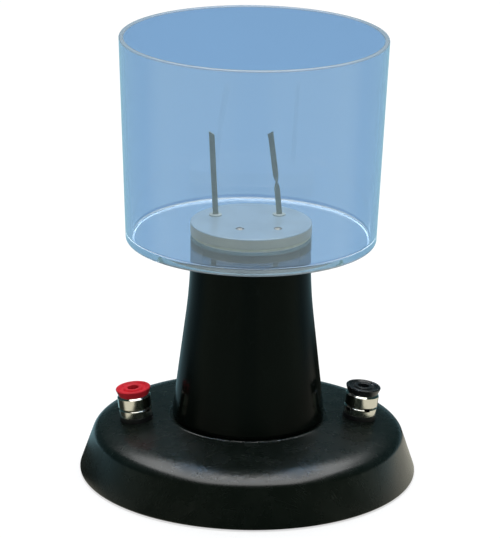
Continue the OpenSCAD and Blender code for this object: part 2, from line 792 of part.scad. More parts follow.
module red_lead() {
  color([0.75, 0.10, 0.12]) tube(lead_route(LEFT, left_electrode_x), lead_d / 2);
}

module black_lead() {
  color([0.08, 0.08, 0.08]) tube(lead_route(RIGHT, right_electrode_x), lead_d / 2);
}

// Terminal pieces, each about its own stem's axis

// Coloured cap with a raised rim, a ring-shaped hollow and a raised boss round the socket
module terminal_cap() {
  r = cap_d / 2;
  low = r - cap_taper;
  hollow_z = cap_top - cap_hollow;
  boss = cap_boss_d / 2;
  hole = socket_d / 2 + cap_hole_gap;
  bore = stem_r + running_gap + spigot_gap;
  edge = corner_arc([low, cap_z], [r, cap_top], [0, cap_top], cap_edge_round, 5);
  rotate_extrude() polygon(concat(
    [[hole, cap_z], [bore, cap_z], [bore, cap_z - spigot_h], [spigot_r, cap_z - spigot_h],
     [spigot_r, cap_z], [low, cap_z]],
    edge,
    [[r - cap_rim, cap_top], [r - cap_rim - cap_hollow, hollow_z],
     [boss + cap_hollow / 2, hollow_z], [boss, cap_top], [hole + small_edge, cap_top],
     [hole, cap_top - small_edge]]
  ));
}

// Metal knob, chamfered on top, with room for the clamp washer below and the cap's spigot above
module terminal_knob() {
  r = knob_d / 2;
  bore = stem_r + running_gap;
  counterbore = spigot_r + fit_gap;
  counterbore_z = cap_z - spigot_h - fit_gap;
  hollow_z = knob_z + washer_hollow_h;
  rotate_extrude() polygon([
    [washer_hollow_r, knob_z], [r - small_edge, knob_z], [r, knob_z + small_edge],
    [r, cap_z - knob_chamfer], [r - knob_chamfer, cap_z], [counterbore, cap_z],
    [counterbore, counterbore_z], [bore, counterbore_z], [bore, hollow_z], [washer_hollow_r, hollow_z]
  ]);
}

// Washer that slides down on the bare wire when the knob is screwed down
module terminal_clamp_washer() {
  ring(knob_z, clamp_washer_h, 2 * clamp_washer_r, stem_d + 2 * running_gap);
}

// Fixed collar with a slot across its top for a bare wire
module terminal_collar(slot_turn) {
  r = collar_d / 2;
  top = collar_z + collar_h;
  bore = stem_r + fit_gap;
  difference() {
    rotate_extrude() polygon([
      [bore, collar_z], [r, collar_z], [r, top - knob_chamfer], [r - knob_chamfer, top], [bore, top]
    ]);
    rotate([0, 0, slot_turn]) translate([-slot_w / 2, -r - cut, top - slot_h])
      cube([slot_w, 2 * (r + cut), slot_h + cut]);
  }
}

module terminal_insulator() {
  r = insulator_d / 2;
  bore = stem_r + fit_gap;
  rotate_extrude() polygon([
    [bore, -insulator_seat], [r, -insulator_seat], [r, insulator_h - small_edge],
    [r - small_edge, insulator_h], [bore, insulator_h]
  ]);
}

// Threaded stem with the socket down its middle and a cross hole for a bare wire
module terminal_stem(slot_turn) {
  wire_z = collar_z + collar_h - slot_h / 2;
  difference() {
    translate([0, 0, stem_z]) cylinder(h = stem_top - stem_z, d = stem_d);
    translate([0, 0, socket_z]) cylinder(h = socket_l + cut, d = socket_d);
    rotate([0, 0, slot_turn]) translate([0, -stem_d, wire_z]) rotate([-90, 0, 0])
      cylinder(h = 2 * stem_d, d = wire_hole_d);
  }
}

// Shouldered bush that keeps the stem off the base
module terminal_bush() {
  bore = stem_r + fit_gap;
  top = -insulator_seat - screw_gap;
  rotate_extrude() polygon([
    [bore, bush_z], [bush_flange_d / 2, bush_z], [bush_flange_d / 2, bush_z + bush_flange_h],
    [bush_r, bush_z + bush_flange_h], [bush_r, top], [bore, top]
  ]);
}

// Solder tag whose tail points to the middle of the base
module terminal_tag() {
  difference() {
    union() {
      translate([0, 0, tag_z]) cylinder(h = tag_t, d = nut_af);
      translate([0, -tag_w / 2, tag_z]) cube([tag_l, tag_w, tag_t]);
    }
    translate([0, 0, tag_z - cut]) cylinder(h = tag_t + 2 * cut, d = stem_d + 2 * fit_gap);
  }
}

module terminal_nut() {
  difference() {
    translate([0, 0, nut_z]) cylinder(h = nut_h, d = nut_af / cos(30), $fn = 6);
    translate([0, 0, nut_z - cut]) cylinder(h = nut_h + 2 * cut, d = stem_d + 2 * fit_gap);
  }
}

module red_cap() {
  color([0.72, 0.10, 0.14]) at_terminal(LEFT) terminal_cap();
}

module red_knob() {
  color([0.75, 0.74, 0.70]) at_terminal(LEFT) terminal_knob();
}

module red_clamp_washer() {
  color([0.70, 0.69, 0.66]) at_terminal(LEFT) terminal_clamp_washer();
}

module red_collar() {
  color([0.75, 0.74, 0.70]) at_terminal(LEFT) terminal_collar(red_slot_turn);
}

module red_insulator() {
  color([0.06, 0.06, 0.06]) at_terminal(LEFT) terminal_insulator();
}

module red_stem() {
  color([0.73, 0.72, 0.68]) at_terminal(LEFT) terminal_stem(red_slot_turn);
}

module red_bush() {
  color([0.08, 0.08, 0.08]) at_terminal(LEFT) terminal_bush();
}

module red_tag() {
  color([0.78, 0.77, 0.72]) at_terminal(LEFT) terminal_tag();
}

module red_nut() {
  color([0.68, 0.67, 0.64]) at_terminal(LEFT) terminal_nut();
}

module black_cap() {
  color([0.07, 0.08, 0.08]) at_terminal(RIGHT) terminal_cap();
}

module black_knob() {
  color([0.75, 0.74, 0.70]) at_terminal(RIGHT) terminal_knob();
}

module black_clamp_washer() {
  color([0.70, 0.69, 0.66]) at_terminal(RIGHT) terminal_clamp_washer();
}

module black_collar() {
  color([0.75, 0.74, 0.70]) at_terminal(RIGHT) terminal_collar(black_slot_turn);
}

module black_insulator() {
  color([0.06, 0.06, 0.06]) at_terminal(RIGHT) terminal_insulator();
}

module black_stem() {
  color([0.73, 0.72, 0.68]) at_terminal(RIGHT) terminal_stem(black_slot_turn);
}

module black_bush() {
  color([0.08, 0.08, 0.08]) at_terminal(RIGHT) terminal_bush();
}

module black_tag() {
  color([0.78, 0.77, 0.72]) at_terminal(RIGHT) terminal_tag();
}

module black_nut() {
  color([0.68, 0.67, 0.64]) at_terminal(RIGHT) terminal_nut();
}

base_shell();
base_cover();
rubber_feet();
cover_screws();
pedestal();
pedestal_screws();
cup();
cup_gasket();
plug();
plug_seal();
plug_screws();
left_electrode();
right_electrode();
left_grommet();
right_grommet();
left_clip();
right_clip();
clip_screws();
red_lead();
black_lead();
red_cap();
red_knob();
red_clamp_washer();
red_collar();
red_insulator();
red_stem();
red_bush();
red_tag();
red_nut();
black_cap();
black_knob();
black_clamp_washer();
black_collar();
black_insulator();
black_stem();
black_bush();
black_tag();
black_nut();
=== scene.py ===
"""Looks of the electrolysis apparatus: a clear cup on a black pedestal and base, with two strip electrodes
and a red and a black screw terminal. Every piece stands where the frame's node of that piece stands."""

import json
import math

import bpy
import numpy as np
from bpy.props import FloatProperty, FloatVectorProperty, PointerProperty
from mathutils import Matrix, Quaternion, Vector


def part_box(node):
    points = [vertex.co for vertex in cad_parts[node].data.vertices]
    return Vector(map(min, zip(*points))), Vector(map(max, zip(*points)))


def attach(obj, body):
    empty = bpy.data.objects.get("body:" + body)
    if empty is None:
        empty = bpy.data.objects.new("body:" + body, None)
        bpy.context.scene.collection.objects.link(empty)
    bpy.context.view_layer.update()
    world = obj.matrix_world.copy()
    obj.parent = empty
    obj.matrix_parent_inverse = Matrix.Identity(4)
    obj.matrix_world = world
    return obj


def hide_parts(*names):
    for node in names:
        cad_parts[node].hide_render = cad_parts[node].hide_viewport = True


bl_info = {
    "name": "Electrolysis Apparatus",
    "version": (1, 0, 0),
    "blender": (4, 5, 0),
    "location": "View3D > Sidebar > Apparatus",
    "description": "Builds the shapes and finishes of an electrolysis apparatus round its CAD frame",
    "category": "Add Mesh",
}

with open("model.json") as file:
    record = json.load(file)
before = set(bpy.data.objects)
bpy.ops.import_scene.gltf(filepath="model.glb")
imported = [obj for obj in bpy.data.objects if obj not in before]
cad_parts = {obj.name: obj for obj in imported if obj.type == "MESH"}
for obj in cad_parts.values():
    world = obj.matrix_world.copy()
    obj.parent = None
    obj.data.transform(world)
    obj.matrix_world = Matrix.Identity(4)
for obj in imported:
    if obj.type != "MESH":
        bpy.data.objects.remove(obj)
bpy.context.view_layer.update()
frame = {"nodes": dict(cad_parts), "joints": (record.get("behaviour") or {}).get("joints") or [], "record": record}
MM = 0.001
GAP = 0.05 * MM  # Clearance between pieces that fit into each other
PAST = 1 * MM  # How far a cutting shape reaches past the piece that it cuts
SLIVER = 0.001 * MM  # How far a countersink reaches past its face
TERMINALS = ("red", "black")
BODY_OF = {n: body for body, nodes in frame["record"]["behaviour"]["bodies"].items() for n in nodes}
JOINTS = {joint["name"]: joint for joint in frame["joints"]}


def low_z(node):
    """Height of a node's lowest point."""
    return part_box(node)[0].z


def high_z(node):
    """Height of a node's highest point."""
    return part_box(node)[1].z


def width(node):
    """Width of a node from side to side."""
    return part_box(node)[1].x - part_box(node)[0].x


# Properties


def length(name, description, metres):
    """A size of the object in metres."""
    return FloatProperty(
        name=name, description=description, default=metres, precision=5, unit="LENGTH", subtype="DISTANCE"
    )


def angle(name, description, degrees):
    """An angle, given in degrees."""
    return FloatProperty(name=name, description=description, default=math.radians(degrees), subtype="ANGLE")


def number(name, description, value, unit="NONE"):
    """A plain number, such as a strength or a power."""
    return FloatProperty(name=name, description=description, default=value, unit=unit)


def colour(name, description, *value):
    """A linear colour."""
    return FloatVectorProperty(
        name=name, description=description, default=value, size=3, min=0, max=1, subtype="COLOR"
    )


class BaseSizes(bpy.types.PropertyGroup):
    radius: length("Radius", "Radius of the skirt at its lower edge", width("base_shell") / 2)
    spread: length("Skirt spread", "How far the skirt spreads outwards on its way down", 6.3 * MM)
    corner_h: length("Corner height", "Height of the sharp corner of skirt and top", 18.1 * MM)
    shoulder: length("Shoulder", "Radius of the rounded shoulder's tight part, above the skirt", 4.9 * MM)
    easing: length("Easing", "Radius of the easy curve from the shoulder into the top", 21.6 * MM)
    skirt_cut: length("Cut on the skirt", "From the sharp corner to the shoulder, on the skirt", 2.37 * MM)
    top_cut: length("Cut on the top", "From the sharp corner to the shoulder, on the top", 4.494 * MM)
    inner_round: length("Inner rounding", "Radius inside the shoulder", 3.9 * MM)
    wall: length("Wall", "Wall of the moulded base", 3 * MM)
    lip: length("Lip", "Wall of the skirt's lip outside the cover", 1.5 * MM)
    hole_r: length("Wiring hole", "Radius of the wiring hole under the pedestal", 14 * MM)
    boss_r: length("Boss radius", "Radius of the bosses for the cover screws", 4 * MM)
    screw_r: length("Screw hole", "Radius of the holes for the cover screws", 1.45 * MM)
    screw_depth: length("Screw hole depth", "Depth of the holes for the cover screws", 9 * MM)
    edge: length("Edge", "Rounding of the small edges", 0.35 * MM)
    bead: length("Bead", "Height of the fine bead on the base round the pedestal's foot", 0.18 * MM)
    bead_w: length("Bead width", "Width of the bead's top", 0.4 * MM)
    seat_gap: length("Seat gap", "How much wider the flat seat is than the pedestal's foot", 0.5 * MM)
    foot_r: length("Foot radius", "Radius of a rubber foot", 6 * MM)
    foot_recess: length("Foot recess", "Depth of the recess that holds a foot", 0.8 * MM)
    foot_edge: length("Foot margin", "Distance from a foot to the cover's edge", 3 * MM)
    pad_round: length("Foot rounding", "Rounding of a foot's edges", 0.1 * MM)
    head_r: length("Screw head", "Radius of a cover screw's head", 2.66 * MM)
    shank_r: length("Screw clearance", "Radius of the clearance hole for a cover screw", 1.6 * MM)


class PedestalSizes(bpy.types.PropertyGroup):
    foot_r: length("Foot radius", "Radius of the pedestal's foot", 29.5 * MM)
    neck_r: length("Neck radius", "Radius of the pedestal's neck", 23 * MM)
    neck_l: length("Neck length", "Length of the straight neck at the top", 5.4 * MM)
    blend: length("Blend", "Radius of the curve that eases the flare into the neck", 195 * MM)
    foot_round: length("Foot rounding", "Radius of the rounded edge of the foot", 1.6 * MM)
    lip_round: length("Lip rounding", "Rounding of the foot's inner edge", 0.2 * MM)
    top_round: length("Top rounding", "Rounding of the flat top's edge", 0.35 * MM)
    inner_round: length("Inner rounding", "Radius inside the corner of wall and top plate", 0.8 * MM)
    wall: length("Wall", "Wall of the moulded pedestal", 2.6 * MM)
    plate: length("Top plate", "Thickness of the top plate", 4 * MM)
    boss_r: length("Boss radius", "Radius of the screw bosses in the foot", 3.6 * MM)
    boss_h: length("Boss height", "Height of the screw bosses in the foot", 14 * MM)
    screw_r: length("Screw hole", "Radius of the screw holes in the foot", 1.55 * MM)
    screw_l: length("Screw hole depth", "Depth of the screw holes in the foot", 12 * MM)
    clearance_r: length("Clearance", "Radius of the screws' clearance holes in the base", 1.7 * MM)
    passage_r: length("Passage", "Radius of the holes that the clips go up through", 2.9 * MM)
    plug_boss_r: length("Plug boss radius", "Radius of the bosses for the plug screws", 2.6 * MM)
    plug_boss_h: length("Plug boss height", "Height of the bosses for the plug screws", 6.1 * MM)


class CupSizes(bpy.types.PropertyGroup):
    rim_r: length("Rim radius", "Outside radius of the rim", width("cup") / 2)
    floor_r: length("Floor radius", "Outside radius at the floor", 47.6 * MM)
    rim_wall: length("Rim wall", "Wall at the rim", 1.9 * MM)
    wall: length("Wall", "Wall at the floor", 2.2 * MM)
    floor: length("Floor", "Thickness of the floor", 2 * MM)
    inner_round: length("Inner rounding", "Radius inside the corner of wall and floor", 1.6 * MM)
    outer_round: length("Outer rounding", "Radius outside the corner of wall and floor", 1 * MM)
    edge: length("Edge", "Rounding of the edges of the hole", 0.15 * MM)
    hole_r: length("Hole", "Radius of the hole for the plug's neck", 22.05 * MM)


class PlugSizes(bpy.types.PropertyGroup):
    radius: length("Radius", "Radius of the flange", width("plug") / 2)
    neck_r: length("Neck radius", "Radius of the neck that goes through the cup's floor", 22 * MM)
    flange: length("Flange", "Thickness of the flange", 4 * MM)
    rounding: length("Rounding", "Rounding of the flange's upper edge", 0.5 * MM)
    under_round: length("Lower rounding", "Rounding of the flange's lower edge", 0.2 * MM)
    neck_round: length("Neck rounding", "Rounding of the neck's lower edge", 0.15 * MM)
    hole_r: length("Electrode hole", "Radius of the hole round an electrode", 1.347 * MM)
    pocket_r: length("Grommet pocket", "Radius of the pocket round a grommet", 2.55 * MM)
    grommet_r: length("Grommet", "Radius of a grommet", 2.5 * MM)
    grommet_h: length("Grommet height", "Height of a grommet", 3 * MM)
    grommet_round: length("Grommet rounding", "Rounding of a grommet's edges", 0.25 * MM)
    fit: length("Fit", "Gap between an electrode and its grommet", 0.05 * MM)
    screw_r: length("Screw hole", "Radius of the plug screws' holes", 1.05 * MM)
    head_r: length("Screw head", "Radius of the plug screws' countersinks", 1.65 * MM)
    screw_y: length("Screw distance", "Distance of the plug screws in front of the middle", 9.4 * MM)
    left_screw_x: length("Left screw", "Place of the left plug screw from side to side", -4.9 * MM)
    right_screw_x: length("Right screw", "Place of the right plug screw from side to side", 9.4 * MM)
    head_slope: angle("Head slope", "Slope of a screw head at its edge", 38)
    slot_w: length("Slot width", "Width of the slot in a screw head", 0.3 * MM)
    slot_h: length("Slot depth", "Depth of the slot in a screw head", 0.45 * MM)
    left_slot: angle("Left slot", "Direction of the slot in the left screw", 25)
    right_slot: angle("Right slot", "Direction of the slot in the right screw", -10)


class ElectrodeSizes(bpy.types.PropertyGroup):
    strip_w: length("Width", "Width of a strip", 2.15 * MM)
    strip_t: length("Thickness", "Thickness of a strip", 0.8 * MM)
    rounding: length("Rounding", "Rounding of a strip's long edges", 0.12 * MM)
    height: length("Height", "Height of an electrode above the plug", 33.2 * MM)
    tip_drop: length("Tip drop", "Drop of the slanting cut across the tip", 1.4 * MM)
    tail: length("Tail", "Length below the plug's top", 22 * MM)
    bend: length("Bend", "Height at which a strip begins to lean", 1 * MM)
    place_y: length("Distance behind", "Distance of the electrodes behind the middle", 8 * MM)
    left_x: length("Left place", "Place of the left electrode from side to side", -13.2 * MM)
    right_x: length("Right place", "Place of the right electrode from side to side", 11.2 * MM)
    left_lean: angle("Left lean", "Lean of the left electrode", 3.4)
    right_lean: angle("Right lean", "Lean of the lower part of the right electrode", 5.6)
    upper_lean: angle("Upper lean", "Lean of the right electrode above its twist", 7.8)
    twist_start: length("Twist start", "Height at which the twist begins", 7.5 * MM)
    twist_length: length("Twist length", "Height over which the strip is twisted", 10 * MM)
    twist_turn: angle("Twist", "Turn of the twist", 150)


class TerminalSizes(bpy.types.PropertyGroup):
    stem_r: length("Stem", "Radius of the threaded stem", 3.4 * MM)
    socket_r: length("Socket", "Radius of the socket", 2 * MM)
    socket_l: length("Socket depth", "Depth of the socket", 19 * MM)
    stem_z: length("Stem foot", "Lowest point of the stem", -11.9 * MM)
    stem_top: length("Stem top", "Highest point of the stem", 9.9 * MM)
    thread_pitch: length("Thread pitch", "Rise of the thread in one turn", 0.7 * MM)
    thread_depth: length("Thread depth", "Depth of the thread", 0.38 * MM)
    wire_z: length("Wire hole height", "Height of the cross hole", 4.7 * MM)
    wire_r: length("Wire hole", "Radius of the cross hole", 0.8 * MM)
    insulator_r: length("Insulator", "Radius of the insulating washer", 6.4 * MM)
    insulator_seat: length("Insulator seat", "How far the washer is let into the base", 0.2 * MM)
    collar_z: length("Collar height", "Lower face of the collar", 1.9 * MM)
    collar_r: length("Collar", "Radius of the collar", 6.3 * MM)
    collar_h: length("Collar thickness", "Height of the collar", 3.4 * MM)
    slot_w: length("Slot width", "Width of the wire slot", 2.3 * MM)
    slot_h: length("Slot depth", "Depth of the wire slot", 1.2 * MM)
    red_slot: angle("Red slot", "Direction of the red terminal's wire slot from the front", 84)
    black_slot: angle("Black slot", "Direction of the black terminal's wire slot from the front", 19)
    knob_z: length("Knob place", "Lower face of the knob", 5.4 * MM)
    knob_r: length("Knob", "Radius of the knob", 6.45 * MM)
    knob_h: length("Knob height", "Height of the knob", 4.8 * MM)
    chamfer: length("Chamfer", "Chamfer round the top of knob and collar", 0.7 * MM)
    hollow_r: length("Washer room", "Radius of the room for the clamp washer", 5.35 * MM)
    hollow_h: length("Washer room height", "Height of that room", 1.1 * MM)
    washer_r: length("Clamp washer", "Radius of the clamp washer", 5.2 * MM)
    washer_h: length("Clamp washer thickness", "Thickness of the clamp washer", 1 * MM)
    running_r: length("Running bore", "Bore of what turns on the stem", 3.48 * MM)
    fixed_r: length("Fixed bore", "Bore of what sits fast on the stem", 3.45 * MM)
    cap_r: length("Cap", "Radius of the cap at its top", 6.75 * MM)
    cap_taper: length("Cap taper", "How much narrower the cap is below", 0.85 * MM)
    cap_h: length("Cap height", "Height of the cap", 2.8 * MM)
    cap_rim: length("Cap rim", "Width of the cap's raised rim", 1.1 * MM)
    cap_hollow: length("Cap hollow", "Depth of the ring-shaped hollow", 0.7 * MM)
    cap_boss_r: length("Cap boss", "Radius of the raised boss round the socket", 3.5 * MM)
    cap_hole_r: length("Cap hole", "Radius of the hole through the cap", 2.2 * MM)
    cap_bore_r: length("Cap bore", "Bore of the cap over the stem", 3.58 * MM)
    spigot_r: length("Spigot", "Radius of the cap's spigot", 4.7 * MM)
    spigot_h: length("Spigot height", "Height of the cap's spigot", 1.2 * MM)
    edge: length("Edge", "Rounding of the metal's edges", 0.1 * MM)
    cap_edge: length("Cap edge", "Rounding of the cap's edges", 0.22 * MM)
    cap_bevel: length("Cap bevel", "Bevel of the cap's rim and of its hole", 0.3 * MM)
    spigot_round: length("Spigot rounding", "Rounding of the spigot's lower edges", 0.1 * MM)
    knob_bevel: length("Knob bevel", "Bevel of the knob's lower edge", 0.2 * MM)
    insulator_round: length("Insulator rounding", "Rounding of the washer's upper edge", 0.3 * MM)
    tip: length("Stem tip", "Chamfer of the stem's ends", 0.3 * MM)
    mouth: length("Socket mouth", "Chamfer of the socket's mouth", 0.25 * MM)
    lead_in: length("Thread start", "Height of the thread's start above the stem's foot", 0.4 * MM)
    run_out: length("Thread run-out", "Height over which the thread fades out", 0.6 * MM)
    bush_r: length("Bush hole", "Radius of the bush's hole in the base", 4.6 * MM)
    pad_r: length("Pad", "Radius of the pad under the base's top", 7.8 * MM)
    pad_h: length("Pad height", "Height of that pad", 0.8 * MM)


class LeadSizes(bpy.types.PropertyGroup):
    radius: length("Radius", "Radius of an insulated lead", 1.2 * MM)
    solder_x: length("Solder place", "Distance of a lead's end from the stem's axis", 10 * MM)
    solder_z: length("Solder height", "Height of a lead's end in the terminal's own frame", -5.9 * MM)
    drop: length("Drop", "How far a lead runs straight down from its solder tag", 2.5 * MM)
    clip_gap: length("Clip run", "How far a lead runs straight up to its clip", 8 * MM)


class Finishes(bpy.types.PropertyGroup):
    base: colour("Base", "Black moulding of the base", 0.0026, 0.0052, 0.0032)
    pedestal: colour("Pedestal", "Black moulding of the pedestal", 0.0030, 0.0048, 0.0034)
    cover: colour("Cover", "Black cover under the base", 0.016, 0.018, 0.018)
    rubber: colour("Feet", "Rubber of the feet", 0.012, 0.012, 0.012)
    seal: colour("Seals", "Rubber of the sealing ring and the gasket", 0.70, 0.74, 0.60)
    grommet: colour("Grommets", "Rubber of the grommets", 0.40, 0.48, 0.50)
    tint: colour("Cup tint", "What the cup's wall lets through", 0.21, 0.382, 0.615)
    cup_edge: colour("Cup edges", "What the cup's rim and lower edge scatter", 0.68, 0.75, 0.79)
    plug: colour("Plug", "Grey plastic of the plug", 0.49, 0.52, 0.45)
    corner: colour("Cup corner", "What the rounded corner inside the cup lets through", 0.42, 0.55, 0.72)
    hole: colour("Cup hole", "Frosted wall of the hole that is cut in the cup's floor", 0.86, 0.90, 0.90)
    # Painted reflection: this blue-grey goes on the plug's top faces and stands in for the cup's blue light
    # reflected there
    painted_blue_light: colour("Bloom", "Blue-grey bloom that the liquid leaves on the plug's top", 0.262, 0.374, 0.482)
    strip: colour("Electrodes", "Dull metal of the electrodes", 0.25, 0.28, 0.25)
    nickel: colour("Terminals", "Nickel plating of the terminals", 0.70, 0.68, 0.61)
    steel: colour("Screws", "Zinc-plated steel of the screws", 0.56, 0.56, 0.53)
    brass: colour("Clips", "Brass of the clips", 0.72, 0.52, 0.22)
    tin: colour("Tags", "Tinned solder tags", 0.62, 0.61, 0.57)
    cap_red: colour("Red cap", "Plastic of the red cap", 0.72, 0.030, 0.044)
    cap_black: colour("Black cap", "Plastic of the black cap", 0.012, 0.014, 0.015)
    insulator: colour("Insulators", "Plastic of the insulating washers and bushes", 0.008, 0.008, 0.008)
    lead_red: colour("Red lead", "Insulation of the red lead", 0.45, 0.02, 0.025)
    lead_black: colour("Black lead", "Insulation of the black lead", 0.014, 0.014, 0.014)


class StageSettings(bpy.types.PropertyGroup):
    distance: length("Distance", "Distance of the camera from the point it looks at", 1205.6 * MM)
    elevation: angle("Elevation", "Height of the camera above the horizon", 18.27)
    azimuth: angle("Azimuth", "Turn of the camera round the object, to the left", -4)
    roll: angle("Roll", "Turn of the camera about its own axis", 0.955)
    look_x: length("Look point, sideways", "Sideways place of the point the camera looks at", -0.185 * MM)
    look_z: length("Look point, height", "Height of the point the camera looks at", 80.95 * MM)
    focal: number("Lens", "Focal length", 211.7, "CAMERA")
    sensor: number("Sensor", "Width of the picture in the camera", 36, "CAMERA")
    floor: length("Floor", "Half the width of the floor", 4)
    matt: number("Floor tone", "How pale the floor is", 0.42)
    glow: number("Floor glow", "What makes the floor white to the camera", 0.62)
    near: length("Near floor", "How far the floor's bands beside the object reach", 0.17)
    far: length("Far floor", "Where the distant floor begins", 0.3)
    backdrop: colour("Backdrop", "What gloss shows of the room behind the object", 0.022, 0.054, 0.064)
    front: colour("Front", "What gloss shows of the room behind the camera", 0.020, 0.030, 0.022)
    meet: number("Meeting", "How far the tones of front and backdrop run into each other", 0.3)
    bounce: colour("Bounce", "What gloss shows of the pale floor beside the base", 0.82, 0.80, 0.68)
    distant: colour("Distant floor", "What gloss shows of the floor farther off in front", 0.80, 1.0, 0.82)
    veil: number("Veil", "Strength of the distant floor in front", 1.35)
    behind: colour("Floor behind", "What gloss shows of the floor farther off behind", 0.34, 0.58, 0.66)
    lost: colour("Lost light", "What shows where light has run about in the cup's wall", 0.30, 0.50, 0.65)
    shade: colour("Shade", "What gloss shows of the floor's dark parts", 0.03, 0.035, 0.03)
    under: colour("Under the base", "What gloss shows of the floor under the object", 0.26, 0.26, 0.26)
    ambient: number("Ambient", "Soft light from all round", 0.12)
    box_w: length("Box width", "Width of the light box overhead", 1.5)
    box_d: length("Box depth", "Depth of the light box overhead", 2.05)
    box_y: length("Box place", "Distance of the light box's middle behind the object", 0.22)
    box_z: length("Box height", "Height of the light box overhead", 1.3)
    key: number("Light box", "Power of the light box overhead", 26, "POWER")
    fill: number("Fill lamp", "Power of the lamp on the right", 1.5, "POWER")
    fill_w: length("Fill lamp width", "Width and height of the lamp on the right", 0.5)
    fill_out: length("Fill lamp distance", "How far that lamp is to the right and in front", 0.9)
    fill_z: length("Fill lamp height", "Height of that lamp", 0.5)
    fill_aim: length("Fill lamp aim", "Height of the point that it lights", 0.08)


GROUPS = {
    "base": BaseSizes,
    "pedestal": PedestalSizes,
    "cup": CupSizes,
    "plug": PlugSizes,
    "electrode": ElectrodeSizes,
    "terminal": TerminalSizes,
    "lead": LeadSizes,
    "finish": Finishes,
    "stage": StageSettings,
}


def settings(context, name):
    """The property group of that name."""
    return getattr(context.scene, f"apparatus_{name}")


# Outlines and surfaces


def unit(vectors):
    """Vectors of length 1."""
    return vectors / np.linalg.norm(vectors, axis=-1, keepdims=True)


def without_doubles(outline):
    """An outline without points that lie on the one before."""
    step = np.linalg.norm((outline - np.roll(outline, 1, 0))[:, :2], axis=1)
    return outline[step > 1e-8]


def rounded(corners, steps=6):
    """Closed outline through corners (x, y, radius). Each corner is an arc about the point on its bisector
    whose distance from both sides is the radius. Returns rows (x, y, edge), where edge rises to 1 on an outer
    corner."""
    corners = np.array(corners, float)
    at, radius = corners[:, :2], corners[:, 2:]
    before, after = unit(np.roll(at, 1, 0) - at), unit(np.roll(at, -1, 0) - at)
    half = np.arccos(np.clip((before * after).sum(1, keepdims=True), -1, 1)) / 2
    centre = at + unit(before + after) * radius / np.sin(half)
    start = at + before * radius / np.tan(half) - centre
    end = at + after * radius / np.tan(half) - centre
    first = np.arctan2(start[:, 1], start[:, 0])
    sweep = np.arctan2(end[:, 1], end[:, 0]) - first
    sweep = (sweep + np.pi) % (2 * np.pi) - np.pi
    t = np.linspace(0, 1, steps + 1)
    turn = first[:, None] + sweep[:, None] * t
    arcs = centre[:, None] + radius[:, None] * np.stack([np.cos(turn), np.sin(turn)], -1)
    area = (at[:, 0] * np.roll(at[:, 1], -1) - np.roll(at[:, 0], -1) * at[:, 1]).sum()
    outer = (sweep * np.sign(area) > 0.1) & (radius[:, 0] > 0)
    edge = outer[:, None] * np.sin(np.pi * t)
    return without_doubles(np.concatenate([arcs, edge[..., None]], -1).reshape(-1, 3))


def strip_section(half_w, half_t, radius):
    """Outline of a strip's section: a rectangle with rounded corners."""
    corners = ((-1, -1), (1, -1), (1, 1), (-1, 1))
    return rounded([(x * half_w, y * half_t, radius) for x, y in corners], steps=4)


def split_long(outline, longest):
    """An outline with points added on its long sides, evenly, so that none is longer than longest."""
    after = np.roll(outline, -1, 0)
    count = np.ceil(np.linalg.norm((after - outline)[:, :2], axis=1) / longest).astype(int).clip(1)
    row = np.repeat(np.arange(len(outline)), count)
    t = (np.arange(len(row)) - np.repeat(np.cumsum(count) - count, count)) / count[row]
    return outline[row] + (after[row] - outline[row]) * t[:, None]


class Shape:
    """Points (n, 3), a list of face index arrays, and how far each point lies on an outer edge."""

    def __init__(self, points, faces, edge):
        self.points, self.faces, self.edge = points, faces, edge

    def moved(self, origin, axes=np.eye(3)):
        """The shape carried from a frame of its own, whose axes are the rows, to the object's frame."""
        return Shape(np.asarray(origin) + self.points @ np.asarray(axes), self.faces, self.edge)


def together(*shapes):
    """Several shapes as one."""
    start = np.cumsum([0] + [len(s.points) for s in shapes])
    faces = [f + n for s, n in zip(shapes, start) for f in s.faces]
    return Shape(np.concatenate([s.points for s in shapes]), faces, np.concatenate([s.edge for s in shapes]))


def skin(grid, edge=0.0, ring=False, poles=False):
    """Faces over a grid of points (rows, columns, 3) whose columns close on themselves. ring joins the last
    row to the first, and poles closes each end row with a fan round its middle."""
    rows, columns = grid.shape[:2]
    r = np.arange(rows if ring else rows - 1)[:, None]
    c = np.arange(columns)[None]
    corners = [(r, c), (r, c + 1), (r + 1, c + 1), (r + 1, c)]
    faces = [np.stack([(i % rows) * columns + j % columns for i, j in corners], -1).reshape(-1, 4)]
    points = grid.reshape(-1, 3)
    edge = np.broadcast_to(edge, (rows, columns)).ravel()
    if poles:
        one, two, last = c[0], (c[0] + 1) % columns, (rows - 1) * columns
        top, bottom = np.full(columns, len(points)), np.full(columns, len(points) + 1)
        faces += [np.stack([two, one, top], -1), np.stack([last + one, last + two, bottom], -1)]
        points = np.concatenate([points, grid[[0, -1]].mean(1)])
        edge = np.append(edge, [0, 0])
    return Shape(points, faces, edge)


def circle(count):
    """Angles spread evenly round a circle."""
    return np.linspace(0, 2 * np.pi, count, endpoint=False)


def polar(r, t, z):
    """Points at distance r from Z, at angle t and height z."""
    return np.stack([r * np.cos(t), r * np.sin(t), z + 0 * t], -1)


def lathe(outline, sides=192):
    """Surface of revolution about Z: (r cos t, r sin t, z) for every outline point (r, z) and angle t. An
    outline that begins and ends on the axis closes in two poles, and any other one is a ring."""
    poles = abs(outline[0, 0]) < 1e-9
    rows = outline[1:-1] if poles else outline
    grid = polar(rows[:, :1], circle(sides), rows[:, 1:2])
    return skin(grid, rows[:, 2:3], ring=not poles, poles=poles)


def from_axis(outline):
    """An outline turned round so that it begins with its last point on the axis and ends with the first."""
    on_axis = np.flatnonzero(outline[:, 0] < 1e-9)
    gap = on_axis[np.flatnonzero(np.roll(on_axis, -1) == (on_axis + 1) % len(outline))[0]]
    return np.roll(outline, -(gap + 1), 0)


